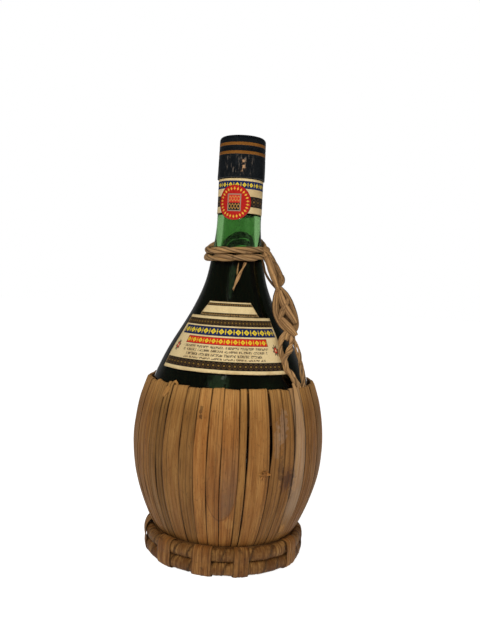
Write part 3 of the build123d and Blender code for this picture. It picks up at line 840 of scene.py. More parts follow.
bottle = {
    "outline": (
        (24, 9.9), (36.312, 12.755), (42.981, 17.609), (48.966, 28.172), (55.635, 47.015), (58.2, 67), (54.741, 93.97),
        (48.709, 111.95), (40.46, 130.0025), (30.082, 147.997), (24.006, 160.003), (19.482, 171.9945),
        (16.001, 190.0035), (13.85, 212),
    ),
    "walls": ((0.0, 0.85), (0.09, 0.35), (0.24, 0.0), (0.42, 0.0), (0.55, 0.1), (0.68, 0.3), (0.82, 0.65), (1.0, 1.0)),
    "thinWall": 2.1, "thickWall": 3.9, "top": 262.2, "neckLevels": (214, 260), "bore": 9.3, "boreTop": 258,
    "boreFloor": 219.0, "lip": 1.2, "wineGap": 0.15, "wineLevel": 191.0,
}
neckRadius = bottle["outline"][-1][0]
side = clampedCurve(bottle["outline"], (1, 0), (0, 1))
sideRun = runOf(side)
sideWay = np.gradient(side, sideRun, axis=0)
sideWay /= np.linalg.norm(sideWay, axis=1)[:, None]


def beside(share, distance):  # point at a share of the glass outline, set out square to it, and the outward way there
    at = np.asarray(share, float) * sideRun[-1]
    point = np.stack([np.interp(at, sideRun, side[:, k]) for k in (0, 1)], -1)
    way = np.stack([np.interp(at, sideRun, sideWay[:, k]) for k in (0, 1)], -1)
    way /= np.linalg.norm(way, axis=-1)[..., None]
    outward = np.stack([way[..., 1], -way[..., 0]], -1)
    return point + outward * np.asarray(distance, float)[..., None], outward


def shareAt(height):
    return np.interp(height, side[:, 1], sideRun) / sideRun[-1]


def wallAt(share):
    table = np.array(bottle["walls"])
    return bottle["thinWall"] + (bottle["thickWall"] - bottle["thinWall"]) * np.interp(share, table[:, 0], table[:, 1])


def arc(radius, height, size, start, end, count):  # points round a corner's middle, as radius and height
    return [(radius + size * math.cos(a), height + size * math.sin(a)) for a in np.linspace(start, end, count)]


def makeBottle():
    look = bottle
    innerShares = np.array([row[0] for row in look["walls"]])
    inner = clampedCurve(beside(innerShares, -wallAt(innerShares))[0], (1, 0), (0, 1))
    steps = np.linspace(0, math.pi / 2, 6)
    lip = look["lip"]
    outer = side[::3].tolist() + [(neckRadius, z) for z in np.linspace(*look["neckLevels"], 14)]
    crown = arc(neckRadius - lip, look["top"] - lip, lip, 0, math.pi / 2, len(steps))
    crown += [(look["bore"] + lip - lip * math.cos(a), look["top"] - lip + lip * math.sin(a)) for a in steps[::-1]]
    bore = [(look["bore"], z) for z in np.linspace(look["boreTop"], look["boreFloor"], 10)]
    outline = [(0, look["outline"][0][1])] + outer + crown + bore + inner[::-3].tolist() + [(0, inner[0][1])]

    def handBlown(radius, height, angle):  # a faint waver in the glass
        return radius + 0.06 * np.sin(2 * angle + height / 31) * (radius > 20), height

    glass = lathe("glassBottle", outline, 128, greenGlass, handBlown)
    # wets the glass, no air between
    wineSide = clampedCurve(beside(innerShares, -wallAt(innerShares) + look["wineGap"])[0], (1, 0), (0, 1))
    wineSide = wineSide[wineSide[:, 1] < look["wineLevel"] - 0.3]
    edge = float(np.interp(look["wineLevel"], wineSide[:, 1], wineSide[:, 0]))
    level = [
        (edge, look["wineLevel"] + 0.1), (edge - 0.8, look["wineLevel"] - 0.25), (edge * 0.5, look["wineLevel"] - 0.3),
        (0, look["wineLevel"] - 0.3),
    ]
    wine = lathe("wine", [(0, wineSide[0][1])] + wineSide[::3].tolist() + level, 96, redWine)
    return glass, wine


glass, wine = makeBottle()


def makeCork():
    look = {"radius": 9.25, "top": 261.0, "length": 42.0, "edge": 0.8}
    low = look["top"] - look["length"]
    levels = np.linspace(low + look["edge"], look["top"] - look["edge"], 40)
    outline = [(0, low), (4, low), (look["radius"] - look["edge"], low)] + [(look["radius"], z) for z in levels]
    outline += [(look["radius"] - look["edge"], look["top"]), (4, look["top"]), (0, look["top"])]
    dice = np.random.default_rng(5)

    def pitted(radius, height, angle):
        pits = dice.random(radius.shape) ** 9 * 0.5
        return radius - pits * (radius > 9), height

    return lathe("cork", outline, 72, corkBark, pitted)


cork = makeCork()

capsuleSize = {
    "inside": 14.15, "flare": 0.4, "wall": 0.35, "bottom": 236.5, "top": 262.85, "round": 2.5, "inRound": 1.9
}


def makeCapsule():
    look = capsuleSize
    outside = look["inside"] + look["wall"]
    inside, top, bottom, inRound = look["inside"], look["top"], look["bottom"], look["inRound"]
    ceiling = top - look["wall"]
    turnIn = arc(outside - look["round"], top - look["round"], look["round"], 0, math.pi / 2, 10)
    rise, inRise = top - look["round"] - bottom - 0.3, ceiling - inRound - bottom
    skirt = [(outside + look["flare"] * (1 - t), bottom + 0.08 + t * rise) for t in np.linspace(0, 1, 48)]
    under = [(inside + look["flare"] * (1 - t), bottom + t * inRise) for t in np.linspace(1, 0, 12)]
    inTurn = arc(inside - inRound, ceiling - inRound, inRound, math.pi / 2, 0, 6)
    crown = [(10, top - 0.03), (9.2, top - 0.12), (4, top - 0.12), (0, top - 0.12)]  # a faint dish
    outline = [(0, ceiling), (6, ceiling)] + inTurn + under + skirt + turnIn + crown

    def pressed(radius, height, angle):  # soft vertical crimps, a shade stronger at the skirt
        low = ease((256 - height) / 20) * (radius > 13.4)
        wave = 0.05 * np.sin(angle * 9 + height / 3) + 0.04 * np.sin(angle * 23 + 1)
        wave = wave + 0.05 * np.sin(angle * 4 - height / 5)
        groove = np.zeros_like(height)
        for z in (254.7, 249.6):  # rolled rings beside the gilt bands
            groove = groove + 0.07 * np.exp(-(((height - z) / 0.35) ** 2))
        return radius + (wave * low - groove) * (radius > 13.4), height

    return lathe("capsule", outline, 144, capsuleFoil, pressed)


capsule = makeCapsule()

labelSize = {
    "paper": 0.2, "glue": 0.06, "neck": (215.0, 236.2),
    "shoulder": (119.0, 151.2), "shoulderHalf": 57, "vintage": (151.7, 160.0), "vintageHalf": (18, 12.4),
}
sealSize = {"radius": 10.7, "turn": -15.0, "height": 221.3, "gap": 0.04, "rings": 16, "around": 72}


def makeNeckLabel():
    (low, high), inside = labelSize["neck"], neckRadius + labelSize["glue"]
    levels = np.linspace(low, high, 26)
    outline = [(inside, z) for z in levels[::-1]] + [(inside + labelSize["paper"], z) for z in levels]

    def creased(radius, height, angle):
        lift = 0.05 * (1 + np.sin(angle * 5 + height / 4)) * ease((219 - height) / 4)
        return radius + lift + 0.02 * np.sin(height * 1.7 + 3 * angle), height

    return lathe("neckLabel", outline, 120, neckPaper, creased)


neckLabel = makeNeckLabel()


def makeSeal():
    radius, turn, height = (sealSize[name] for name in ("radius", "turn", "height"))
    inside = neckRadius + 2 * labelSize["glue"] + labelSize["paper"] + sealSize["gap"]
    ringCount, around = sealSize["rings"], sealSize["around"]
    points, uvs = [(0.0, 0.0)], []
    for i in range(1, ringCount + 1):
        for j in range(around):
            a = j * fullTurn / around
            points.append((i / ringCount * math.cos(a), i / ringCount * math.sin(a)))
    flat = np.array(points)
    faces = [(0, 1 + j, 1 + (j + 1) % around) for j in range(around)]
    for i in range(ringCount - 1):
        for j in range(around):
            k = (j + 1) % around
            faces.append((1 + i * around + j, 1 + (i + 1) * around + j, 1 + (i + 1) * around + k, 1 + i * around + k))
    count = len(flat)

    def onNeck(lift):
        angle = math.radians(turn) + flat[:, 0] * radius / inside
        edge = ease((np.hypot(flat[:, 0], flat[:, 1]) - 0.86) / 0.14)
        r = inside + lift + 0.03 * np.sin(flat[:, 1] * 14 + flat[:, 0] * 5) * edge + 0.06 * edge
        return np.stack([r * np.sin(angle), -r * np.cos(angle), height + flat[:, 1] * radius], 1)

    allPoints = np.concatenate([onNeck(labelSize["paper"]), onNeck(0.0)])
    allFaces = faces + [tuple(count + k for k in reversed(f)) for f in faces]
    last = 1 + (ringCount - 1) * around
    for j in range(around):
        k = (j + 1) % around
        allFaces.append((last + j, count + last + j, count + last + k, last + k))
    both = np.concatenate([flat, flat])
    for f in allFaces:
        uvs += [both[k] for k in f]
    return putMesh("sealSticker", allPoints * mm, allFaces, sealPaper, uvs)


seal = makeSeal()


# a sheet glued on the shoulder; turns and heights are grids of the same size
def paperPatch(name, turns, heights, material, inside, seed):
    rows, columns = heights.shape
    share = shareAt(heights)
    dice = np.random.default_rng(seed)
    across = np.linspace(-1, 1, columns)[None, :]
    up = np.linspace(-1, 1, rows)[:, None]
    edge = np.maximum(np.abs(across), np.abs(up)) ** 14
    lift = 0.05 * edge + 0.02 * np.sin(across * 21 + up * 4) * (1 + np.sin(up * 9))
    lift = lift + 0.12 * np.clip(np.abs(across) + np.abs(up) - 1.9, 0, 1) * dice.random() * 10

    def layer(height):
        point, _ = beside(share, inside + height)
        angle = np.radians(turns)
        return np.stack([point[..., 0] * np.sin(angle), -point[..., 0] * np.cos(angle), point[..., 1]], -1)

    outer, inner = layer(lift + labelSize["paper"]), layer(np.minimum(lift, 0.1))
    rings = np.concatenate([outer, inner[:, ::-1]], 1) * mm
    tint = np.zeros(rings.shape[:2] + (4,))
    tint[..., 3] = np.concatenate([edge**3, edge[:, ::-1] ** 3], 1)
    uvs = np.zeros((rows, rings.shape[1] + 1, 2))
    return putLofts(name, [(rings, uvs, tint)], material)


def makeShoulderLabels():
    dice = np.random.default_rng(11)
    rows, columns = 36, 110
    turn, half = shoulderPrint["turn"], labelSize["shoulderHalf"]
    turns = np.linspace(turn - half, turn + half, columns)[None, :].repeat(rows, 0)
    heights = np.linspace(*labelSize["shoulder"], rows)[:, None].repeat(columns, 1)
    ragged = np.convolve(dice.normal(0, 0.12, columns + 6), np.ones(7) / 7, "valid")
    heights[0] += ragged
    big = paperPatch("shoulderLabel", turns, heights, shoulderPaper, labelSize["glue"], 3)
    rows, columns = 14, 48
    heights = np.linspace(*labelSize["vintage"], rows)[:, None].repeat(columns, 1)
    low, high = labelSize["vintageHalf"]
    half = low + (high - low) * np.linspace(0, 1, rows)
    across = np.linspace(-1, 1, columns)[None, :] * half[:, None]
    turns = turn + np.degrees(
        np.arcsin(np.clip(across / beside(shareAt(heights), np.zeros_like(heights))[0][..., 0], -1, 1))
    )
    small = paperPatch("vintageLabel", turns, heights, vintagePaper, labelSize["glue"], 4)
    return big, small


shoulderLabel, vintageLabel = makeShoulderLabels()
print("bottle, cork, capsule and labels made")

# seen: tone, hue and lengthwise creases, from -1 to 1 across, of the fifteen leaves that face the camera
# gaps: millimetres at the left of each of these; below zero they touch
# bare: real gaps beside three of them, as side, depth and the two shares of the length between which they lie
casing = {
    "start": -57.0, "leaf": 0.9, "fit": 0.3, "rim": 109.0, "fold": 18.0, "hoop": 1.2, "hoopGap": 0.1,
    "standOff": (
        (0.0, 0.0), (0.12, 0.0), (0.28, 0.05), (0.45, 0.1), (0.62, 0.25), (0.78, 0.6), (0.9, 0.95), (1.0, 1.0)
    ),
    "widths": (
        6.5, 6.0, 5.3, 11.7, 8.7, 7.6, 7.8, 9.4, 4.8, 13.3, 9.2, 7.2, 10.0, 6.5, 8.3, 9.5, 11.0, 8.2, 10.4, 7.4, 12.1,
        9.0, 10.6, 6.8, 9.9, 11.6, 8.4, 10.2, 7.6, 9.3, 12.4, 8.0, 10.9, 9.6, 6.9, 11.2, 8.8, 10.0, 9.1, 8.8,
    ),
    "seen": (
        (0.45, 0.3, (0.2,)), (0.35, 0.5, (-0.3,)), (0.3, 0.6, (0.1,)), (0.45, 0.35, (-0.45,)), (0.4, 0.45, (0.1, 0.7)),
        (0.62, 0.05, ()), (0.55, 0.0, (0.35,)), (0.6, 0.0, (0.3, 0.62)), (0.55, 0.45, ()), (0.56, 0.2, (0.8,)),
        (0.4, 0.3, (-0.35, 0.3)), (0.42, 0.3, (0.1,)), (0.5, 0.5, ()), (0.5, 0.3, (-0.2, 0.4)), (0.5, 0.2, (0.0,)),
    ),
    "gaps": (0.28, 0.22, 0.25, 0.4, 0.02, -0.05, 0.26, 0.05, 0.2, 0.42, 0.5, 0.12, 0.38, 0.28, 0.22, 0.22),
    "bare": {
        9: ((1, 0.35, 0.55, 1.05), (1, 0.35, 0.28, 0.42)),
        10: ((-1, 0.3, 0.55, 1.05), (-1, 0.35, 0.28, 0.42), (1, 0.25, 0.6, 1.05)), 11: ((-1, 0.8, 0.6, 1.05),),
    },
    "radius": 60, "spacing": 0.42, "rows": 62,
}
rimShare = shareAt(casing["rim"])
foldShare = shareAt(casing["rim"] - casing["fold"])
hoopSpace = casing["hoop"] + 2 * casing["hoopGap"]
hoopCentre = beside(rimShare, casing["fit"] + casing["leaf"] + hoopSpace / 2)[0]


def leafPath():  # inner side of a leaf, from under the bulb over the hoop and down inside: its points and outward ways
    table = np.array(casing["standOff"])
    share = np.concatenate([np.linspace(0, 0.9, casing["rows"]), np.linspace(0.91, 1, 10)])
    up, upWay = beside(
        share * rimShare, casing["fit"] + np.interp(share, table[:, 0], table[:, 1]) * (casing["leaf"] + hoopSpace)
    )
    _, out = beside(rimShare, 0.0)
    angle = math.atan2(out[1], out[0]) + np.linspace(0, math.pi, 11)[1:-1]
    turnWay = np.stack([np.cos(angle), np.sin(angle)], 1)
    over = hoopCentre + turnWay * hoopSpace / 2
    down, downWay = beside(np.linspace(rimShare, foldShare, 9), casing["fit"] + casing["leaf"])
    return np.concatenate([up, over, down]), np.concatenate([upWay, turnWay, -downWay])


leafPoints, leafWays = leafPath()
leafRun = runOf(leafPoints)
rimRow = casing["rows"] + 9


def makeLeaf(number, start, end):
    look = casing
    dice = np.random.default_rng(100 + number)
    count, known = len(look["widths"]), len(look["gaps"])
    gaps = [*look["gaps"], *np.random.default_rng(99).uniform(-0.08, 0.42, count + 1)[known:count]]
    start += math.degrees(gaps[number - 1] / 2 / look["radius"])
    end -= math.degrees(gaps[number % count] / 2 / look["radius"])
    width = math.radians(end - start) * look["radius"]
    columns = max(10, round(width / look["spacing"]))
    across = np.linspace(-1, 1, columns)
    if number <= len(look["seen"]):
        tone, hue, creases = look["seen"][number - 1]
    else:
        tone, hue = dice.uniform(0.35, 0.62), dice.uniform(0, 0.7) ** 1.5
        creases = tuple(dice.uniform(-0.7, 0.7, dice.integers(0, 3)))
    rows = len(leafPoints)
    run = leafRun[:, None]
    middle, half = (start + end) / 2, (end - start) / 2

    def wander(size, step):
        return drift(dice, leafRun, size, step, step)

    left, right = wander(0.12, 17.0), wander(0.12, 17.0)
    turns = middle + across[None, :] * half + np.degrees(1 / look["radius"]) * (
        left[:, None] * (across < 0) * -across + right[:, None] * (across > 0) * across
    )
    share = leafRun / leafRun[rimRow]
    for sideSign, depth, low, high in look["bare"].get(number, ()):
        opened = ease((share - low) / 0.14) * (1 - ease((share - high + 0.1) / 0.1))
        cut = sideSign * np.degrees(depth / look["radius"])
        turns = turns - cut * opened[:, None] * np.clip(across * sideSign, 0, 1)
    # height of the surface above the path
    flatness = -0.75 * width**2 / 8 / look["radius"] * (1 - across**2)
    ribs = softRibs(dice, 0.075, columns)
    ribs2 = softRibs(dice, 0.075, columns)
    blend = 0.5 + 0.5 * np.sin(run / 19 + dice.uniform(0, 6))
    relief = flatness + ribs * blend + ribs2 * (1 - blend)
    relief = relief - 0.35 * np.abs(across) ** 8
    for sideSign in (1, -1):  # each long edge stands up by its own amount
        relief = relief + dice.uniform(-0.05, 0.32) * (0.5 + sideSign * 0.5 * across)
    relief = relief + wander(0.08, 21.0)[:, None] + wander(0.1, 13.0)[:, None] * across
    # painted shade in the creases, which are also grooves in the leaf
    creaseShade = np.zeros((rows, columns))
    for place in creases:
        middleLine = place + wander(0.03, 23.0)[:, None]
        groove = np.exp(-(((across - middleLine) * width / 2 / 0.3) ** 2))
        relief = relief - 0.22 * groove
        creaseShade = np.maximum(creaseShade, 0.5 * groove)
    thick = look["leaf"] * (0.82 - 0.35 * np.abs(across) ** 6)
    steady = ease((run - 6) / 10)
    outer = look["leaf"] + relief * steady
    inner = np.maximum(outer - thick, 0.04)
    inside = np.arange(rows) > rimRow + 8  # the inner ply keeps off the glass
    outer = np.where(inside[:, None], np.minimum(outer, look["leaf"] + 0.12), outer)
    inner = np.where(inside[:, None], outer - thick, inner)
    rise = dice.uniform(-0.7, 0.7) + 0.35 * across * dice.uniform(-1, 1)
    nearRim = np.where(
        np.arange(rows) <= rimRow, ease((leafRun - leafRun[rimRow] + 13) / 13), ease((leafRun[-1] - leafRun) / 12)
    )
    rimWay = np.array([-leafWays[rimRow][1], leafWays[rimRow][0]])

    def layer(height):
        r = leafPoints[:, 0][:, None] + leafWays[:, 0][:, None] * height + rimWay[0] * rise * nearRim[:, None]
        z = leafPoints[:, 1][:, None] + leafWays[:, 1][:, None] * height + rimWay[1] * rise * nearRim[:, None]
        angle = np.radians(turns)
        return np.stack([r * np.sin(angle), -r * np.cos(angle), z], -1)

    rings = np.concatenate([layer(outer), layer(inner)[:, ::-1]], 1) * mm
    lengthwise = np.repeat(leafRun[:, None], columns, 1)
    sideways = np.repeat(across[None, :] * width / 2, rows, 0)
    uv = np.stack([sideways, lengthwise], -1)
    uvs = np.concatenate([uv, uv[:, ::-1], uv[:, :1]], 1) * mm
    tint = np.zeros((rows, columns, 4))
    tint[..., 0], tint[..., 1], tint[..., 2] = tone, hue, dice.random()
    # painted shade: a dark line along each long edge and a broad darkening towards the sides
    edgeLineShade = np.clip(np.abs(across) * width / 2 - width / 2 + 0.35, 0, 0.35) / 0.35
    shaded = 0.16 * np.clip(np.abs(across) * width / 2 - width / 2 + 1.4, 0, 1.4) / 1.4
    tint[..., 3] = np.maximum(creaseShade, np.maximum(edgeLineShade * 0.78, shaded)[None, :])
    tint[rimRow + 6 :, :, 3] = 0.92  # the ply inside the rim is in the dark
    tint = np.concatenate([tint, tint[:, ::-1]], 1)
    piece = putLofts(f"casingLeaf{number:02d}", [(rings, uvs, tint)] + leafExtras.get(number, []), dryLeaf)
    settle(piece, "bottle", [f"casing_leaf_{number:02d}"])


def routeLine(points, step):  # even points along a NURBS line drawn through a cord's route, in metres
    curve = bpy.data.curves.new("route", "CURVE")
    curve.dimensions = "3D"
    curve.resolution_u = 16
    spline = curve.splines.new("NURBS")
    spline.points.add(len(points) - 1)
    for corner, place in zip(spline.points, points):
        corner.co = (place[0] * mm, place[1] * mm, place[2] * mm, 1.0)
    spline.order_u = 3
    spline.use_endpoint_u = True
    thing = bpy.data.objects.new("route", curve)
    scene.collection.objects.link(thing)
    mesh = bpy.data.meshes.new_from_object(thing)
    read = np.array([v.co for v in mesh.vertices], float)
    bpy.data.objects.remove(thing)
    bpy.data.meshes.remove(mesh)
    run = runOf(read)
    at = np.linspace(0, run[-1], max(4, round(run[-1] / (step * mm))))
    return np.stack([np.interp(at, run, read[:, k]) for k in range(3)], 1)


def lineFrames(line, axis=None):  # out and side ways; out points away from an upright axis, or is carried along
    along = np.gradient(line, axis=0)
    along /= np.linalg.norm(along, axis=1)[:, None]
    if axis is not None:
        out = line - np.array([axis[0] * mm, axis[1] * mm, 0])
        out[:, 2] = 0
    else:
        out = np.zeros_like(line)
        out[0] = (0, -1, 0)
        for i in range(1, len(line)):
            out[i] = out[i - 1] - along[i] * (out[i - 1] @ along[i])
            out[i] /= np.linalg.norm(out[i])
    out = out - along * np.sum(out * along, axis=1)[:, None]
    out /= np.linalg.norm(out, axis=1)[:, None]
    return out, np.cross(along, out)


# a leaf rolled into a strand, which may turn round a cord's middle line
def rolledStrand(line, out, across, look, dice):
    count = look.get("count", 20)
    run = runOf(line) / mm
    total = run[-1]
    angle = fullTurn * (run / look["lay"] + look["phase"])
    centre = line + mm * look["offset"] * (np.cos(angle)[:, None] * out + np.sin(angle)[:, None] * across)
    ends = np.clip(np.minimum(run, total - run) / look.get("taper", 4.0), 0, 1)
    size = look["radius"] * (look.get("tip", 0.35) + (1 - look.get("tip", 0.35)) * np.sqrt(ends))
    size = size * (1 + drift(dice, run, 0.07, 6.0, 8))
    around = np.arange(count) / count
    phi = around * fullTurn
    roll = 1 + look.get("roll", 0.22) * (around - 0.5)
    folds = np.zeros((len(run), count))
    for k in range(3):
        where = dice.random() + 0.5 * np.sin(run / dice.uniform(14, 26) + dice.uniform(0, 6)) * 0.25
        apart = (around[None, :] - where[:, None] + 0.5) % 1 - 0.5
        folds += np.exp(-((apart / 0.055) ** 2)) * (
            0.5 + 0.5 * np.sin(run / dice.uniform(5, 12) + dice.uniform(0, 6))
        )[:, None]
    fibres = softRibs(dice, 0.03, count)
    radius = size[:, None] * (roll[None, :] + fibres[None, :] - look.get("fold", 0.14) * np.minimum(folds, 1))
    flat = look.get("flat", 0.78)
    c, s = np.cos(angle)[:, None], np.sin(angle)[:, None]
    first = (c * out + s * across)[:, None, :]
    second = (-s * out + c * across)[:, None, :]
    rings = centre[:, None, :] + mm * radius[..., None] * (
        flat * np.cos(phi)[None, :, None] * first + np.sin(phi)[None, :, None] * second
    )
    uv = np.zeros((len(run), count + 1, 2))
    uv[..., 0] = np.arange(count + 1) / count * fullTurn * look["radius"] * mm
    uv[..., 1] = run[:, None] * mm
    tint = np.zeros((len(run), count, 4))
    tint[..., 0] = look.get("tone", 0.5) + drift(dice, run, 0.05, 7.0, 9)[:, None]
    tint[..., 1], tint[..., 2] = look.get("hue", 0.2), dice.random()
    # painted shade in the folds and along the rolled leaf's lapped edge
    tint[..., 3] = 0.75 * np.minimum(folds, 1)
    tint[:, 0, 3] = tint[:, -1, 3] = 0.7
    return rings, uv, tint


def leafStrip(line, out, across, look, dice):  # a flat leaf along a line, out is its face
    columns = look.get("columns", 12)
    run = runOf(line) / mm
    total = run[-1]
    width = np.interp(run / total, np.linspace(0, 1, len(look["widths"])), look["widths"])
    width = width + drift(dice, run, look.get("ragged", 0.12), 5.0, 9)
    turn = np.interp(
        run / total, np.linspace(0, 1, len(look.get("turns", (0, 0)))), np.radians(look.get("turns", (0, 0)))
    )[:, None]
    face = np.cos(turn) * out + np.sin(turn) * across
    edge = -np.sin(turn) * out + np.cos(turn) * across
    place = np.linspace(-1, 1, columns)
    curl = look.get("curl", 0.15)
    ribs = softRibs(dice, look.get("ribs", 0.08), columns)
    ribs2 = softRibs(dice, look.get("ribs", 0.08), columns)
    blend = 0.5 + 0.5 * np.sin(run / 4.5 + dice.uniform(0, 6))[:, None]
    height = -curl * width[:, None] * place[None, :] ** 2 + ribs * blend + ribs2 * (1 - blend)
    thick = look.get("thick", 0.6) * (1 - 0.45 * np.abs(place) ** 5)[None, :]

    def layer(lift):
        return line[:, None, :] + mm * (
            edge[:, None, :] * (place[None, :, None] * width[:, None, None] / 2)
            + face[:, None, :] * (height + lift)[..., None]
        )

    rings = np.concatenate([layer(thick / 2), layer(-thick / 2)[:, ::-1]], 1)
    uv = np.stack(
        [np.repeat(place[None, :], len(run), 0) * width[:, None] / 2, np.repeat(run[:, None], columns, 1)], -1
    ) * mm
    uvs = np.concatenate([uv, uv[:, ::-1], uv[:, :1]], 1)
    tint = np.zeros((len(run), columns, 4))
    tint[..., 0], tint[..., 1], tint[..., 2] = look.get("tone", 0.5), look.get("hue", 0.2), dice.random()
    # painted shade: darker towards both long edges and in the creases
    tint[..., 3] = look.get("edge", 0.6) * np.abs(place)[None, :] ** look.get("edgeFall", 8)
    for crease in look.get("creases", ()):
        tint[..., 3] = np.maximum(
            tint[..., 3], 0.6 * np.exp(-(((place - crease) * look["widths"][0] / 2 / 0.3) ** 2))[None, :]
        )
    return rings, uvs, np.concatenate([tint, tint[:, ::-1]], 1)


def spot(turn, radius, height):
    angle = math.radians(turn)
    return (radius * math.sin(angle), -radius * math.cos(angle), height)


def settle(piece, body, nodes):
    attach(piece, body)
    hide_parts(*nodes)


def onCasing(turn, height, lift):  # a place over the casing, in millimetres
    outward = leafPoints[: rimRow + 1] + leafWays[: rimRow + 1] * lift
    return spot(turn, float(np.interp(height, outward[:, 1], outward[:, 0])), height)


def casingStrip(route, look, dice):
    line = routeLine(route, 0.6)
    out, across = lineFrames(line, (0, 0))
    return leafStrip(line, out, across, look, dice)


def makeLeafExtras():  # leaves that lie over others, and a frayed spot
    dice = np.random.default_rng(88)
    pale = [
        onCasing(t, z, lift)
        for t, z, lift in (
            (45.0, 24, 0.9), (45.0, 45, 1.3), (45.0, 67, 1.5), (45.0, 88, 1.6), (45.0, 102, 1.7), (44.6, 108, 1.9)
        )
    ]
    tip = pale[-1]
    reach = math.hypot(tip[0], tip[1])
    pale += [spot(44.3, reach - 1.0, 111.8), spot(44.1, reach - 2.6, 114.6)]
    paleLook = {
        "widths": (6.0, 8.0, 9.6, 9.8, 9.0, 6.6, 2.0), "thick": 0.5, "curl": 0.01, "ribs": 0.07, "columns": 22,
        "tone": 0.85, "hue": 0.5, "ragged": 0.12, "edge": 0.9,
    }
    fold = [
        onCasing(-45.0, 103.5, 1.2), onCasing(-43.0, 107.5, 1.9), spot(-41.0, 50.9, 111.0), spot(-39.8, 49.2, 112.1)
    ]
    foldLook = {
        "widths": (2.4, 3.6, 4.0, 3.2), "thick": 0.5, "curl": 0.05, "ribs": 0.1, "columns": 12, "tone": 0.5, "hue": 0.2,
        "ragged": 0.1,
    }
    fray = []
    for _ in range(14):
        turn, height = 20.8 + dice.normal(0, 0.7), 64.6 + dice.normal(0, 0.8)
        way, long = dice.uniform(0, fullTurn), dice.uniform(1.4, 3.4)
        side, up = math.degrees(math.cos(way) * long / casing["radius"]), math.sin(way) * long
        bits = [
            onCasing(turn - side * 0.5, height - up * 0.5, 1.5), onCasing(turn, height, 2.0 + dice.uniform(0.1, 0.7)),
            onCasing(turn + side, height + up, 1.7 + dice.uniform(0, 1.0)),
        ]
        fray.append(
            casingStrip(
                bits,
                {
                    "widths": (0.8, 0.9, 0.4), "thick": 0.25, "ribs": 0.0, "ragged": 0.02, "columns": 5, "tone": 1.4,
                    "hue": 0.0, "edge": 0.0,
                },
                dice,
            )
        )
    return {13: [casingStrip(pale, paleLook, dice)], 4: [casingStrip(fold, foldLook, dice)], 10: fray}


leafExtras = makeLeafExtras()
turnNow = casing["start"]
for number, width in enumerate(casing["widths"], start=1):
    makeLeaf(number, turnNow, turnNow + width)
    turnNow += width
print("casing leaves made")

foot = {
    "radius": 46.8, "halfWidth": 3.1, "halfHeight": 4.1, "low": 4.8, "pitch": 8.1, "start": -135.0, "sweep": 630,
    "level": 270.0, "climb": 90.0, "perTurn": 16, "around": 30, "wraps": (7.5, 13.0), "liner": (45.0, 9.2),
}


# control points a shade outside the winding, because the line cuts inside them
def windingRoute(place, start, end, perTurn):
    step = 360 / perTurn
    turns = np.linspace(start, end, round((end - start) / step) + 1)
    reach = 1 / (0.5 + 0.5 * math.cos(math.radians(step / 2)))
    return [spot(t, place(t)[0] * (1 + (reach - 1) * 2), place(t)[1]) for t in turns]


def footPlace(turn):
    climbed = min(max((turn - foot["start"] - foot["level"]) / foot["climb"], 0), 1)
    return foot["radius"], foot["low"] + foot["pitch"] * (1 - math.cos(math.pi * climbed)) / 2


def makeFootCoil():
    look = foot
    dice = np.random.default_rng(21)
    line = routeLine(windingRoute(footPlace, look["start"], look["start"] + look["sweep"], look["perTurn"]), 0.8)
    out, up = lineFrames(line, (0, 0))
    run = runOf(line) / mm
    count = look["around"]
    phi = np.arange(count) / count * fullTurn
    edges = [-4.0]
    while edges[-1] < run[-1] + 14:
        edges.append(edges[-1] + dice.uniform(*look["wraps"]))
    edges = np.array(edges)
    slant = 1.6 * np.sin(phi + 0.7)
    at = run[:, None] + slant[None, :]
    which = np.clip(np.searchsorted(edges, at) - 1, 0, len(edges) - 2)
    share = (at - edges[which]) / (edges[which + 1] - edges[which])
    ranges = ((0.1, 0.4), (-0.02, 0.3), (0.0, 0.3))
    tilt, tone, hue = (dice.uniform(*limits, len(edges)) for limits in ranges)
    lift = tilt[which] * (share - 0.6)
    ribs = drift(dice, run, 0.07, 0.8, 2)[:, None]
    ribs = ribs + 0.05 * np.sin(at * 2.9 + tone[which] * 60)
    sag = 0.12 * np.sin(2 * phi + 1)[None, :] + 0.1 * np.sin(run / 23)[:, None]
    offset = np.clip(lift + ribs + sag, -0.7, 0.45)
    tips = np.clip(np.minimum(run, run[-1] - run) / 5, 0, 1) ** 0.5
    width = (look["halfWidth"] + offset) * (0.25 + 0.75 * tips)[:, None]
    height = (look["halfHeight"] + offset) * (0.25 + 0.75 * tips)[:, None]
    rings = line[:, None, :] + mm * (
        (width * np.cos(phi))[..., None] * out[:, None, :] + (height * np.sin(phi))[..., None] * up[:, None, :]
    )
    rings[..., 2] = np.maximum(rings[..., 2], 0.0004)
    uv = np.zeros((len(run), count + 1, 2))
    uv[..., 0] = run[:, None] * mm
    uv[..., 1] = np.abs(np.arange(count + 1) / count - 0.5) * 22 * mm
    tint = np.zeros((len(run), count, 4))
    tint[..., 0], tint[..., 1], tint[..., 2] = tone[which], hue[which], (which * 0.137) % 1
    # painted shade where one wrap meets the next
    tint[..., 3] = 0.8 * np.clip(1 - np.minimum(share, 1 - share) * 9, 0, 1)
    # a flat leaf behind both turns, which closes the foot towards the bottle; it is painted dark as shade, with darker
    # edges
    liner = routeLine([spot(t, *look["liner"]) for t in np.arange(-180, 190, 360 / look["perTurn"])], 1.5)
    linerOut, linerUp = lineFrames(liner, (0, 0))
    backing = leafStrip(
        liner, linerOut, linerUp,
        {
            "widths": (16.4, 16.4), "thick": 0.6, "curl": 0.0, "ribs": 0.1, "columns": 14, "tone": 0.0, "hue": 0.0,
            "edge": 0.9,
        },
        dice,
    )
    piece = putLofts("footCoil", [(rings, uv, tint), backing], ropeStraw)
    settle(piece, "bottle", ["foot_coil"])


makeFootCoil()

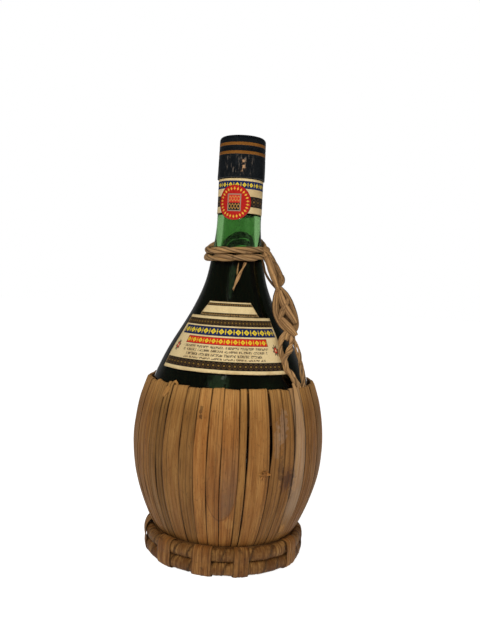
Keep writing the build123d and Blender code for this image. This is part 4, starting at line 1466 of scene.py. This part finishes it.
ties = {
    "rows": (
        (-82, 13, 0.42, 0.3), (-45, 12, 0.45, 0.1), (-14, 11.7, 0.4, 0.0), (13, 9.5, 0.32, 0.1), (57, 11, 0.6, 0.2),
        (92, 11, 0.45, 0.2), (126, 12.5, 0.4, 0.2), (166, 10.5, 0.5, 0.1), (-158, 12, 0.42, 0.2),
        (-118, 11.5, 0.36, 0.1),
    ),
    "thick": 0.6, "clear": 0.45, "underside": 0.0, "loose": -82,
}


def makeFootTies():
    lofts = []
    for number, (turn, width, tone, hue) in enumerate(ties["rows"]):
        dice = np.random.default_rng(300 + number)
        half, low = foot["halfWidth"] + ties["clear"], ties["underside"]
        top = foot["low"] + foot["pitch"] + foot["halfHeight"] + ties["clear"]
        middle = (top + low) / 2
        # from between casing and coil, over the top, down outside and under
        path = [
            (-2.6, top - 1.2), (-1.2, top - 0.1), (0.6, top), (half * 0.75, top - 0.9), (half, top - 3.3),
            (half + 0.15, middle + 2), (half - 0.25, middle), (half + 0.1, middle - 2), (half - 0.1, low + 3.4),
            (half * 0.7, low + 0.9), (0.6, low + 0.35), (-2.2, low + 0.4), (-3.6, low + 2.0), (-4.0, low + 4.5),
        ]
        if turn == ties["loose"]:  # a loose one, which stands up as an arch
            path = [
                (-4.6, top + 3.4), (-2.6, top + 4.6), (0.2, top + 4.2), (half * 0.8, top + 1.6),
                (half + 0.7, top - 2.2), (half + 0.4, middle + 2),
            ] + path[6:]
        cross = math.radians(turn)
        outWay = np.array([math.sin(cross), -math.cos(cross), 0])
        sideWays = np.array([math.cos(cross), math.sin(cross), 0])
        route = [tuple(outWay * (foot["radius"] + r) + np.array([0, 0, z])) for r, z in path]
        line = routeLine(route, 0.7)
        along = np.gradient(line, axis=0)
        along /= np.linalg.norm(along, axis=1)[:, None]
        across = np.repeat(sideWays[None, :], len(line), 0)
        out = np.cross(across, along)
        look = {
            "widths": (width * dice.uniform(0.85, 1), width, width * dice.uniform(0.9, 1.05)), "thick": ties["thick"],
            "curl": 0.0, "ribs": 0.13, "columns": 22, "tone": tone, "hue": hue, "ragged": 0.18,
            "creases": tuple(dice.uniform(-0.7, 0.7, 2)),
        }
        rings, uvs, tint = leafStrip(line, out, across, look, dice)
        # the flat strip is bent round the ring
        offset = (rings - line[:, None, :]) @ sideWays
        bend = offset**2 / 2 / (foot["radius"] * mm)
        rings = rings - bend[..., None] * outWay
        rings[..., 2] = np.maximum(rings[..., 2], 0.0001)
        lofts.append((rings, uvs, tint))
    piece = putLofts("footTies", lofts, tieLeaf)
    settle(piece, "bottle", ["foot_ties"])


makeFootTies()
print("foot made")

neckCord = {
    "low": 183.4, "rise": 14.0, "steep": 2.5, "lowTurn": -14.0, "lowRadius": 19.25, "highRadius": 17.6, "start": -307.0,
    "turns": 720.0, "pitch": 4.6, "perTurn": 16,
    "strand": {
        "lay": 34.0, "offset": 1.02, "radius": 1.6, "flat": 0.7, "roll": 0.3, "fold": 0.22, "taper": 3.0, "tip": 0.5
    },
}


def neckPlace(turn):
    look = neckCord
    back = ((1 - math.cos(math.radians(turn - look["lowTurn"]))) / 2) ** look["steep"]
    lift = 4.0 * float(ease((-270 - turn) / 37))
    radius = look["lowRadius"] + (look["highRadius"] - look["lowRadius"]) * back
    return radius, look["low"] + look["rise"] * back + look["pitch"] * (turn - look["start"]) / 360 + lift


def makeNeckCord():
    look = neckCord
    dice = np.random.default_rng(41)
    line = routeLine(windingRoute(neckPlace, look["start"], look["start"] + look["turns"], look["perTurn"]), 0.7)
    out, up = lineFrames(line, (0, 0))
    lofts = []
    for number, phase in enumerate((0.0, 0.5)):
        strand = dict(look["strand"], phase=phase, tone=0.12 + 0.16 * number, hue=0.1 + 0.2 * number)
        lofts.append(rolledStrand(line, out, up, strand, dice))
    piece = putLofts("neckCord", lofts, twistedLeaf)
    settle(piece, "bottle", ["neck_cord"])


makeNeckCord()


def makeLooseEnds():
    dice = np.random.default_rng(43)
    lofts = []
    for route, look in (
        (
            ((5.0, -18.6, 184.6), (4.0, -19.3, 181.8), (1.7, -20.3, 176.2), (-0.6, -22.1, 170.4), (-1.5, -23.1, 167.6)),
            {
                "lay": 26.0, "phase": 0.1, "offset": 0.0, "radius": 1.08, "flat": 0.5, "roll": 0.35, "fold": 0.25,
                "taper": 1.0, "tip": 0.8, "tone": 0.95, "hue": 0.0, "count": 16,
            },
        ),
        (
            ((1.1, -19.0, 184.2), (0.7, -19.3, 181.4), (0.4, -19.9, 177.0)),
            {
                "lay": 40.0, "phase": 0.3, "offset": 0.0, "radius": 0.6, "flat": 0.4, "roll": 0.3, "fold": 0.2,
                "taper": 3.0, "tip": 0.4, "tone": 1.35, "hue": 0.0, "count": 12,
            },
        ),
    ):
        line = routeLine(route, 0.5)
        out, across = lineFrames(line, (0, 0))
        lofts.append(rolledStrand(line, out, across, look, dice))
    piece = putLofts("looseEnds", lofts, twistedLeaf)
    settle(piece, "bottle", ["loose_ends"])


makeLooseEnds()

# leaves: their line, widths, turns about it, thickness, tone and hue; loops: line, radius, lay and tone
strap = {
    "route": (
        (15.6, -11.9, 193.5), (21.0, -12.9, 187.0), (24.2, -14.4, 178.3), (26.3, -15.2, 169.1), (30.3, -17.9, 158.2),
        (33.1, -21.7, 147.8), (33.6, -24.6, 141.5),
    ),
    "front": (
        (33.4, -22.6, 144.0), (32.6, -25.5, 140.5), (32.0, -28.3, 136.5), (31.2, -31.0, 132.0), (30.4, -32.5, 128.4),
        (31.9, -33.3, 124.0), (35.1, -33.1, 119.2), (38.3, -32.5, 115.2), (39.9, -31.7, 110.8),
    ),
    "rear": (
        (35.4, -21.8, 142.8), (36.7, -23.2, 139.3), (39.1, -24.8, 133.8), (40.4, -25.9, 129.4), (42.2, -26.5, 122.3),
        (43.4, -26.6, 115.7), (44.0, -26.9, 111.0), (43.9, -26.7, 109.0),
    ),
    "leaves": {
        "inner": (
            (
                (16.7, -10.9, 193.2), (20.6, -11.2, 188.4), (23.4, -11.9, 183.0), (25.2, -12.9, 177.5),
                (25.7, -14.2, 172.2), (26.0, -14.6, 168.5), (27.6, -15.1, 165.2),
            ),
            (3.0, 5.0, 5.4, 4.4, 2.4, 2.0), (20, -20, 10), 0.6, 0.05, 0.0,
        ),
        "back": (
            (
                (15.0, -10.3, 189.4), (16.2, -11.6, 184.5), (17.9, -13.0, 178.1), (21.4, -13.8, 173.3),
                (25.3, -14.7, 169.3), (28.1, -15.1, 165.9),
            ),
            (1.2, 1.5, 1.6, 1.5, 1.4), (0, 40, 0), 0.7, -0.3, 0.0,
        ),
        "outer": (
            (
                (15.4, -11.5, 194.0), (19.5, -12.6, 191.9), (22.7, -13.9, 185.8), (25.9, -14.7, 180.2),
                (27.8, -14.8, 176.6), (27.2, -14.9, 172.6), (25.9, -15.1, 169.1), (27.2, -16.1, 165.2),
            ),
            (2.4, 3.4, 3.4, 3.0, 3.0, 2.0, 1.8), (0, -35, 30, 60, 0), 0.55, 0.85, 0.0,
        ),
        "middle": (
            (
                (15.7, -11.8, 192.8), (18.0, -14.1, 189.1), (20.2, -15.6, 183.6), (22.5, -16.2, 178.3),
                (24.5, -16.0, 173.6), (25.8, -15.8, 169.7), (28.1, -16.5, 165.3),
            ),
            (3.0, 4.4, 5.0, 4.4, 3.2, 2.2), (0, 25, -15, 10), 0.6, 0.5, 0.05,
        ),
        "plaitBody": (
            (
                (26.8, -15.0, 170.0), (28.6, -16.6, 164.0), (31.2, -18.6, 157.0), (33.4, -20.6, 150.5),
                (34.6, -22.0, 144.5),
            ),
            (2.4, 6.0, 8.0, 8.0, 6.0), (0, 10, 0), 1.0, -0.4, 0.0,
        ),
        "plaitRight": (
            (
                (27.2, -15.2, 170.4), (30.6, -16.2, 166.5), (34.0, -18.2, 160.0), (37.0, -20.4, 153.0),
                (38.2, -21.8, 147.6), (36.2, -23.4, 143.6), (33.0, -23.6, 142.8),
            ),
            (2.4, 4.0, 4.6, 4.2, 3.8, 3.6, 2.8), (20, 30, 20, -10, -30), 1.1, 0.62, 0.05,
        ),
        "plaitLeft": (
            (
                (26.0, -15.6, 170.4), (25.6, -17.6, 164.6), (25.4, -19.6, 158.4), (26.4, -21.4, 152.6),
                (29.6, -23.4, 147.6), (33.6, -24.6, 144.0), (36.4, -25.2, 141.6),
            ),
            (2.4, 4.6, 5.2, 5.0, 4.4, 3.6, 2.8), (-30, -30, -20, 0, 10), 1.1, 0.55, 0.05,
        ),
        "plaitMid": (
            (
                (26.8, -17.2, 168.6), (28.4, -19.8, 162.6), (31.6, -21.6, 157.2), (35.0, -22.6, 153.0),
                (37.4, -23.2, 149.2),
            ),
            (2.6, 4.6, 4.8, 4.2, 3.0), (10, 0, 10), 0.9, 0.8, 0.0,
        ),
        "plaitFold": (
            ((32.4, -18.6, 164.0), (31.0, -21.2, 159.0), (28.4, -23.0, 154.6), (27.6, -22.9, 150.8)),
            (2.2, 3.8, 4.2, 2.6), (0, -10, 0), 0.8, 0.45, 0.0,
        ),
        "knot": (
            ((33.2, -21.8, 146.0), (32.8, -24.8, 142.0), (31.6, -26.8, 139.2)), (5.0, 5.6, 3.6), (20, -20), 1.2, 0.3,
            0.0,
        ),
        "curlTip": (
            ((26.4, -15.4, 179.4), (28.4, -15.2, 176.6), (28.9, -15.4, 173.6), (27.8, -15.9, 171.4)),
            (1.4, 2.6, 2.4, 1.2), (0, 40, -20), 0.6, 1.0, 0.0,
        ),
        "plaitTail": (
            (
                (27.0, -21.4, 152.9), (30.3, -24.6, 149.4), (33.7, -26.0, 146.3), (36.3, -26.4, 143.9),
                (37.8, -26.8, 141.9),
            ),
            (3.0, 4.6, 4.8, 4.4, 3.0), (0, 15, -10), 0.9, 0.6, 0.0,
        ),
    },
    "loops": {
        "left": (
            (
                (32.2, -22.7, 144.3), (29.8, -25.5, 141.0), (28.6, -28.0, 136.9), (28.6, -30.2, 132.6),
                (29.7, -31.7, 128.3), (32.0, -33.0, 123.1), (35.8, -33.6, 118.0), (38.6, -33.4, 114.3),
                (39.6, -32.3, 110.6),
            ),
            1.85, 19.0, 0.5,
        ),
        "right": (
            (
                (34.7, -22.5, 143.5), (35.5, -25.0, 140.0), (35.0, -27.8, 135.7), (33.3, -31.2, 131.7),
                (31.1, -33.3, 128.5), (31.7, -33.9, 124.7), (34.5, -32.9, 120.2), (38.0, -31.8, 116.1),
                (40.3, -31.0, 112.0), (40.9, -30.4, 109.5),
            ),
            1.9, 17.0, 0.85,
        ),
    },
}


def strapLeaf(route, widths, turns, thick, tone, hue, dice):
    line = routeLine(route, 0.45)
    out, across = lineFrames(line)
    # painted shade: dark outlines along each leaf's edges and creases
    look = {
        "widths": widths, "turns": turns, "thick": thick, "curl": 0.2, "ribs": 0.16, "columns": 18, "tone": tone + 0.3,
        "hue": hue, "ragged": 0.2, "edge": 0.95, "edgeFall": 5, "creases": tuple(dice.uniform(-0.7, 0.7, 3)),
    }
    rings, uvs, tint = leafStrip(line, out, across, look, dice)
    if tone < 0:  # a leaf deep inside the plait, painted dark all over as shade
        tint[..., 3] = 0.8
    return rings, uvs, tint


def makeStrap():
    dice = np.random.default_rng(51)
    line = routeLine(strap["route"], 0.5)
    lofts = [strapLeaf(*row, dice) for row in strap["leaves"].values()]
    piece = putLofts("strapPlait", lofts, twistedLeaf)
    settle(piece, "bottle", ["strap_bundle", "strap_plait"])


def makeFrontTail():
    dice = np.random.default_rng(61)
    line = routeLine(strap["front"], 0.5)
    lofts = []
    for route, radius, lay, tone in strap["loops"].values():
        strand = routeLine(route, 0.45)
        out, across = lineFrames(strand)
        look = {
            "lay": lay, "phase": 0.2, "offset": 0.0, "radius": radius, "flat": 0.62, "roll": 0.3, "fold": 0.3,
            "taper": 2.0, "tip": 0.5, "tone": tone, "hue": 0.05, "count": 26,
        }
        lofts.append(rolledStrand(strand, out, across, look, dice))
    piece = putLofts("strapTailFront", lofts, twistedLeaf)
    settle(piece, "bottle", ["strap_cord_front"])


def makeRearTail():
    dice = np.random.default_rng(62)
    line = routeLine(strap["rear"], 0.5)
    out, across = lineFrames(line)
    lofts = []
    for number, tone in enumerate((0.38, 0.55)):
        look = {
            "lay": 26.0, "phase": 0.35 + number / 2, "offset": 0.9, "radius": 1.15, "flat": 0.62, "roll": 0.3,
            "fold": 0.22, "taper": 2.5, "tip": 0.5, "tone": tone, "hue": 0.1, "count": 18,
        }
        lofts.append(rolledStrand(line, out, across, look, dice))
    piece = putLofts("strapTailRear", lofts, twistedLeaf)
    settle(piece, "bottle", ["strap_cord_rear"])


makeStrap()
makeFrontTail()
makeRearTail()
print("cord and strap made")


def geometryTree(name, takes):
    tree = bpy.data.node_groups.new(name, "GeometryNodeTree")
    tree.interface.new_socket("Geometry", in_out="INPUT", socket_type="NodeSocketGeometry")
    for label, kind, start in takes:
        made = tree.interface.new_socket(label, in_out="INPUT", socket_type=kind)
        if start is not None:
            made.default_value = start
    tree.interface.new_socket("Geometry", in_out="OUTPUT", socket_type="NodeSocketGeometry")
    return tree, tree.nodes.new("NodeGroupInput").outputs, tree.nodes.new("NodeGroupOutput").inputs


def growPiece(name, tree, values):  # what a geometry tree makes, as a plain mesh
    holder = bpy.data.objects.new(name + "Holder", bpy.data.meshes.new(name + "Holder"))
    scene.collection.objects.link(holder)
    modifier = holder.modifiers.new(tree.name, "NODES")
    modifier.node_group = tree
    sockets = {
        item.name: item.identifier for item in tree.interface.items_tree if item.item_type == "SOCKET"
        and item.in_out == "INPUT"
    }
    for label, value in values.items():
        modifier[sockets[label]] = value
    bpy.context.view_layer.update()
    dg = bpy.context.evaluated_depsgraph_get()
    mesh = bpy.data.meshes.new_from_object(holder.evaluated_get(dg), depsgraph=dg)
    holder.modifiers.remove(modifier)
    bpy.data.objects.remove(holder)
    mesh.name = name
    piece = bpy.data.objects.new(name, mesh)
    scene.collection.objects.link(piece)
    return piece


def wrapTree():  # a rope of strands that twist round each other along a ring or spiral
    tree, take, give = geometryTree(
        "woundString",
        [
            ("Inner Radius", "NodeSocketFloat", 0.01), ("Outer Radius", "NodeSocketFloat", 0.02),
            ("Turns", "NodeSocketFloat", 1.0), ("Level", "NodeSocketFloat", 0.0), ("Strand", "NodeSocketFloat", 0.001),
            ("Strand Offset", "NodeSocketFloat", 0.0005), ("Flatness", "NodeSocketFloat", 1.0),
            ("Twists", "NodeSocketFloat", 0.0), ("Points", "NodeSocketInt", 300),
            ("Roughness", "NodeSocketFloat", 0.0001), ("Seed", "NodeSocketFloat", 1.0),
            ("Material", "NodeSocketMaterial", None),
        ],
    )
    spiral = node(
        tree, "GeometryNodeCurveSpiral",
        {
            "Resolution": 64, "Rotations": take["Turns"], "Start Radius": take["Inner Radius"],
            "End Radius": take["Outer Radius"], "Height": 0.0,
        },
    )
    even = node(tree, "GeometryNodeResampleCurve", {"Curve": spiral.outputs[0], "Count": take["Points"]})
    place = node(tree, "GeometryNodeSplineParameter").outputs["Factor"]
    tilt = times(tree, place, take["Twists"], fullTurn)
    tilted = node(tree, "GeometryNodeSetCurveTilt", {"Curve": even.outputs[0], "Tilt": tilt})
    lift = node(tree, "ShaderNodeCombineXYZ", {2: take["Level"]}).outputs[0]
    raised = node(tree, "GeometryNodeSetPosition", {"Geometry": tilted.outputs[0], "Offset": lift})
    circle = node(tree, "GeometryNodeCurvePrimitiveCircle", {"Resolution": 12, "Radius": take["Strand"]})
    joined = node(tree, "GeometryNodeJoinGeometry")
    for sign in (-1.0, 1.0):
        aside = node(tree, "ShaderNodeCombineXYZ", {0: times(tree, take["Strand Offset"], sign)}).outputs[0]
        squeeze = node(tree, "ShaderNodeCombineXYZ", {0: 1.0, 1: take["Flatness"], 2: 1.0}).outputs[0]
        moved = node(
            tree, "GeometryNodeTransform", {"Geometry": circle.outputs[0], "Translation": aside, "Scale": squeeze}
        )
        tree.links.new(moved.outputs[0], joined.inputs[0])
    tube = node(
        tree, "GeometryNodeCurveToMesh",
        {"Curve": raised.outputs[0], "Profile Curve": joined.outputs[0], "Fill Caps": True},
    )
    seeded = node(
        tree, "ShaderNodeVectorMath",
        {
            0: node(tree, "GeometryNodeInputPosition").outputs[0],
            1: node(tree, "ShaderNodeCombineXYZ", {2: take["Seed"]}).outputs[0],
        },
        operation="ADD",
    ).outputs[0]
    grain = node(tree, "ShaderNodeTexNoise", {"Vector": seeded, "Scale": 900.0, "Detail": 3.0}).outputs[0]
    push = times(tree, minus(tree, grain, 0.5), take["Roughness"])
    offset = node(
        tree, "ShaderNodeVectorMath", {0: node(tree, "GeometryNodeInputNormal").outputs[0], "Scale": push},
        operation="SCALE",
    ).outputs[0]
    rough = node(tree, "GeometryNodeSetPosition", {"Geometry": tube.outputs[0], "Offset": offset})
    smooth = node(tree, "GeometryNodeSetShadeSmooth", {"Geometry": rough.outputs[0]})
    real = node(tree, "GeometryNodeRealizeInstances", {"Geometry": smooth.outputs[0]})
    painted = node(tree, "GeometryNodeSetMaterial", {"Geometry": real.outputs[0], "Material": take["Material"]})
    tree.links.new(painted.outputs[0], give[0])
    return tree


def makeCoarseString():  # string seen only inside the rim and under the foot: pattern on Object coordinates
    material, tree, shader = newMaterial("coarseString", Specular_IOR_Level=0.3)
    place = objectPlace(tree)
    fibre = speckle(tree, place, 900.0, 5.0)
    dirt = spotted(tree, place, 200.0, 0.3)
    colour = mixColour(tree, fadeUp(tree, fibre, 0.35, 0.65), strawLook["brown"], strawLook["middle"])
    colour = mixColour(tree, times(tree, dirt, 0.5), colour, strawLook["stain"])
    plugFinish(tree, shader, colour, fadeUp(tree, fibre, 0.0, 1.0, 0.7, 0.9), bump(tree, fibre, 0.0002))
    return material


coarseString = makeCoarseString()
woundString = wrapTree()
hoopString = {
    "Inner Radius": hoopCentre[0] * mm, "Outer Radius": hoopCentre[0] * mm, "Turns": 1.0, "Level": hoopCentre[1] * mm,
    "Strand": 0.00034, "Strand Offset": 0.00027, "Flatness": 1.0, "Twists": 90.0, "Points": 1080, "Roughness": 0.00004,
    "Seed": 2.0, "Material": coarseString,
}
padRope = {
    "Inner Radius": 0.002, "Outer Radius": 0.0375, "Turns": 9.0, "Level": 0.0059, "Strand": 0.0021,
    "Strand Offset": 0.0003, "Flatness": 1.12, "Twists": 40.0, "Points": 1400, "Roughness": 0.0005, "Seed": 5.0,
    "Material": coarseString,
}
settle(growPiece("rimHoop", woundString, hoopString), "bottle", ["rim_hoop"])
settle(growPiece("basePad", woundString, padRope), "bottle", ["base_pad"])
print("hoop and pad made")

settle(glass, "bottle", ["glass_bottle"])
settle(wine, "bottle", ["wine"])
settle(neckLabel, "bottle", ["neck_label"])
settle(seal, "bottle", ["seal_sticker"])
settle(shoulderLabel, "bottle", ["shoulder_label"])
settle(vintageLabel, "bottle", ["vintage_label"])
settle(capsule, "capsule", ["capsule"])
settle(cork, "cork", ["cork"])

studio = {
    "floor": paint(238, 237, 234), "floorShade": paint(234, 233, 230), "ambient": 0.24, "lowestShown": 0.84,
    "mirroredFloor": 0.3, "dimRoom": 0.04, "mirroredWall": 0.14, "backdropWidth": (0.5, 0.9),
    "key": {"place": (-0.3, -0.8, 0.7), "aim": (0, 0, 0.13), "power": 5.6, "size": 0.5},
    "fill": {"place": (0.75, -0.5, 0.4), "aim": (0, 0, 0.12), "power": 1.5, "size": 0.6},
    "flash": {"place": (0.03, -0.5, 0.27), "aim": (0, 0, 0.15), "power": 0.3, "size": 0.012},
}
camera = {
    "place": (0.0, -0.4476, 0.1718), "down": 3.0, "lean": 2.9, "yaw": 0.48, "focal": 700.0, "longSide": 640.0,
    "sensor": 36.0,
}


def makeFloor():
    material, tree, shader = newMaterial("studioFloor", Roughness=0.9, Specular_IOR_Level=0.1)
    cloud = speckle(tree, objectPlace(tree), 3.0)
    plug(tree, shader.inputs["Base Color"], mixColour(tree, cloud, studio["floorShade"], studio["floor"]))
    path = tree.nodes.new("ShaderNodeLightPath").outputs
    through = larger(tree, times(tree, path["Is Glossy Ray"], studio["mirroredFloor"]), path["Is Transmission Ray"])
    shown = larger(tree, times(tree, path["Is Camera Ray"], studio["lowestShown"]), through)
    plug(tree, shader.inputs["Emission Color"], (1.0, 1.0, 1.0, 1.0))
    plug(tree, shader.inputs["Emission Strength"], shown)
    mesh = bpy.data.meshes.new("floor")
    mesh.from_pydata([(-4, -4, 0), (4, -4, 0), (4, 4, 0), (-4, 4, 0)], [], [(0, 1, 2, 3)])
    mesh.materials.append(material)
    floor = bpy.data.objects.new("floor", mesh)
    scene.collection.objects.link(floor)


def makeWorld():  # a white backdrop behind the bottle and a dim room in front of it
    world = bpy.data.worlds.new("studio")
    world.use_nodes = True
    scene.world = world
    tree = world.node_tree
    path = tree.nodes.new("ShaderNodeLightPath").outputs
    ahead = node(
        tree, "ShaderNodeSeparateXYZ", {0: tree.nodes.new("ShaderNodeTexCoord").outputs["Generated"]}
    ).outputs[1]
    mirrored = fadeUp(tree, ahead, *studio["backdropWidth"], studio["dimRoom"], studio["mirroredWall"])
    seen = larger(tree, path["Is Camera Ray"], path["Is Transmission Ray"])
    mirror = times(tree, path["Is Glossy Ray"], mirrored)
    rest = flip(tree, larger(tree, seen, path["Is Glossy Ray"]))
    ground = tree.nodes["Background"]
    plug(tree, ground.inputs["Color"], (1.0, 1.0, 1.0, 1.0))
    plug(tree, ground.inputs["Strength"], plus(tree, larger(tree, seen, mirror), times(tree, rest, studio["ambient"])))


def addLight(name, look):
    light = bpy.data.lights.new(name, "AREA")
    light.shape = "DISK"
    light.energy = look["power"]
    light.size = look["size"]
    thing = bpy.data.objects.new(name, light)
    thing.location = look["place"]
    thing.rotation_euler = (Vector(look["aim"]) - Vector(look["place"])).to_track_quat("-Z", "Y").to_euler()
    thing.visible_glossy = False
    scene.collection.objects.link(thing)


def addCamera():
    look = camera
    lens = bpy.data.cameras.new("photoCamera")
    lens.sensor_width = look["sensor"]
    lens.lens = look["focal"] / look["longSide"] * look["sensor"]
    thing = bpy.data.objects.new("photoCamera", lens)
    down, lean, yaw = (math.radians(look[k]) for k in ("down", "lean", "yaw"))
    ahead = Vector((math.sin(yaw) * math.cos(down), math.cos(yaw) * math.cos(down), -math.sin(down)))
    right = Vector((math.cos(yaw), -math.sin(yaw), 0))
    up = right.cross(ahead)
    leanRight = math.cos(lean) * right + math.sin(lean) * up
    leanUp = -math.sin(lean) * right + math.cos(lean) * up
    turn = Matrix((leanRight, leanUp, -ahead)).transposed().to_4x4()
    thing.matrix_world = Matrix.Translation(look["place"]) @ turn
    scene.collection.objects.link(thing)
    scene.camera = thing


makeFloor()
makeWorld()
for name in ("key", "fill", "flash"):
    addLight(name, studio[name])
addCamera()
scene.view_settings.view_transform = "Standard"
print("studio ready")
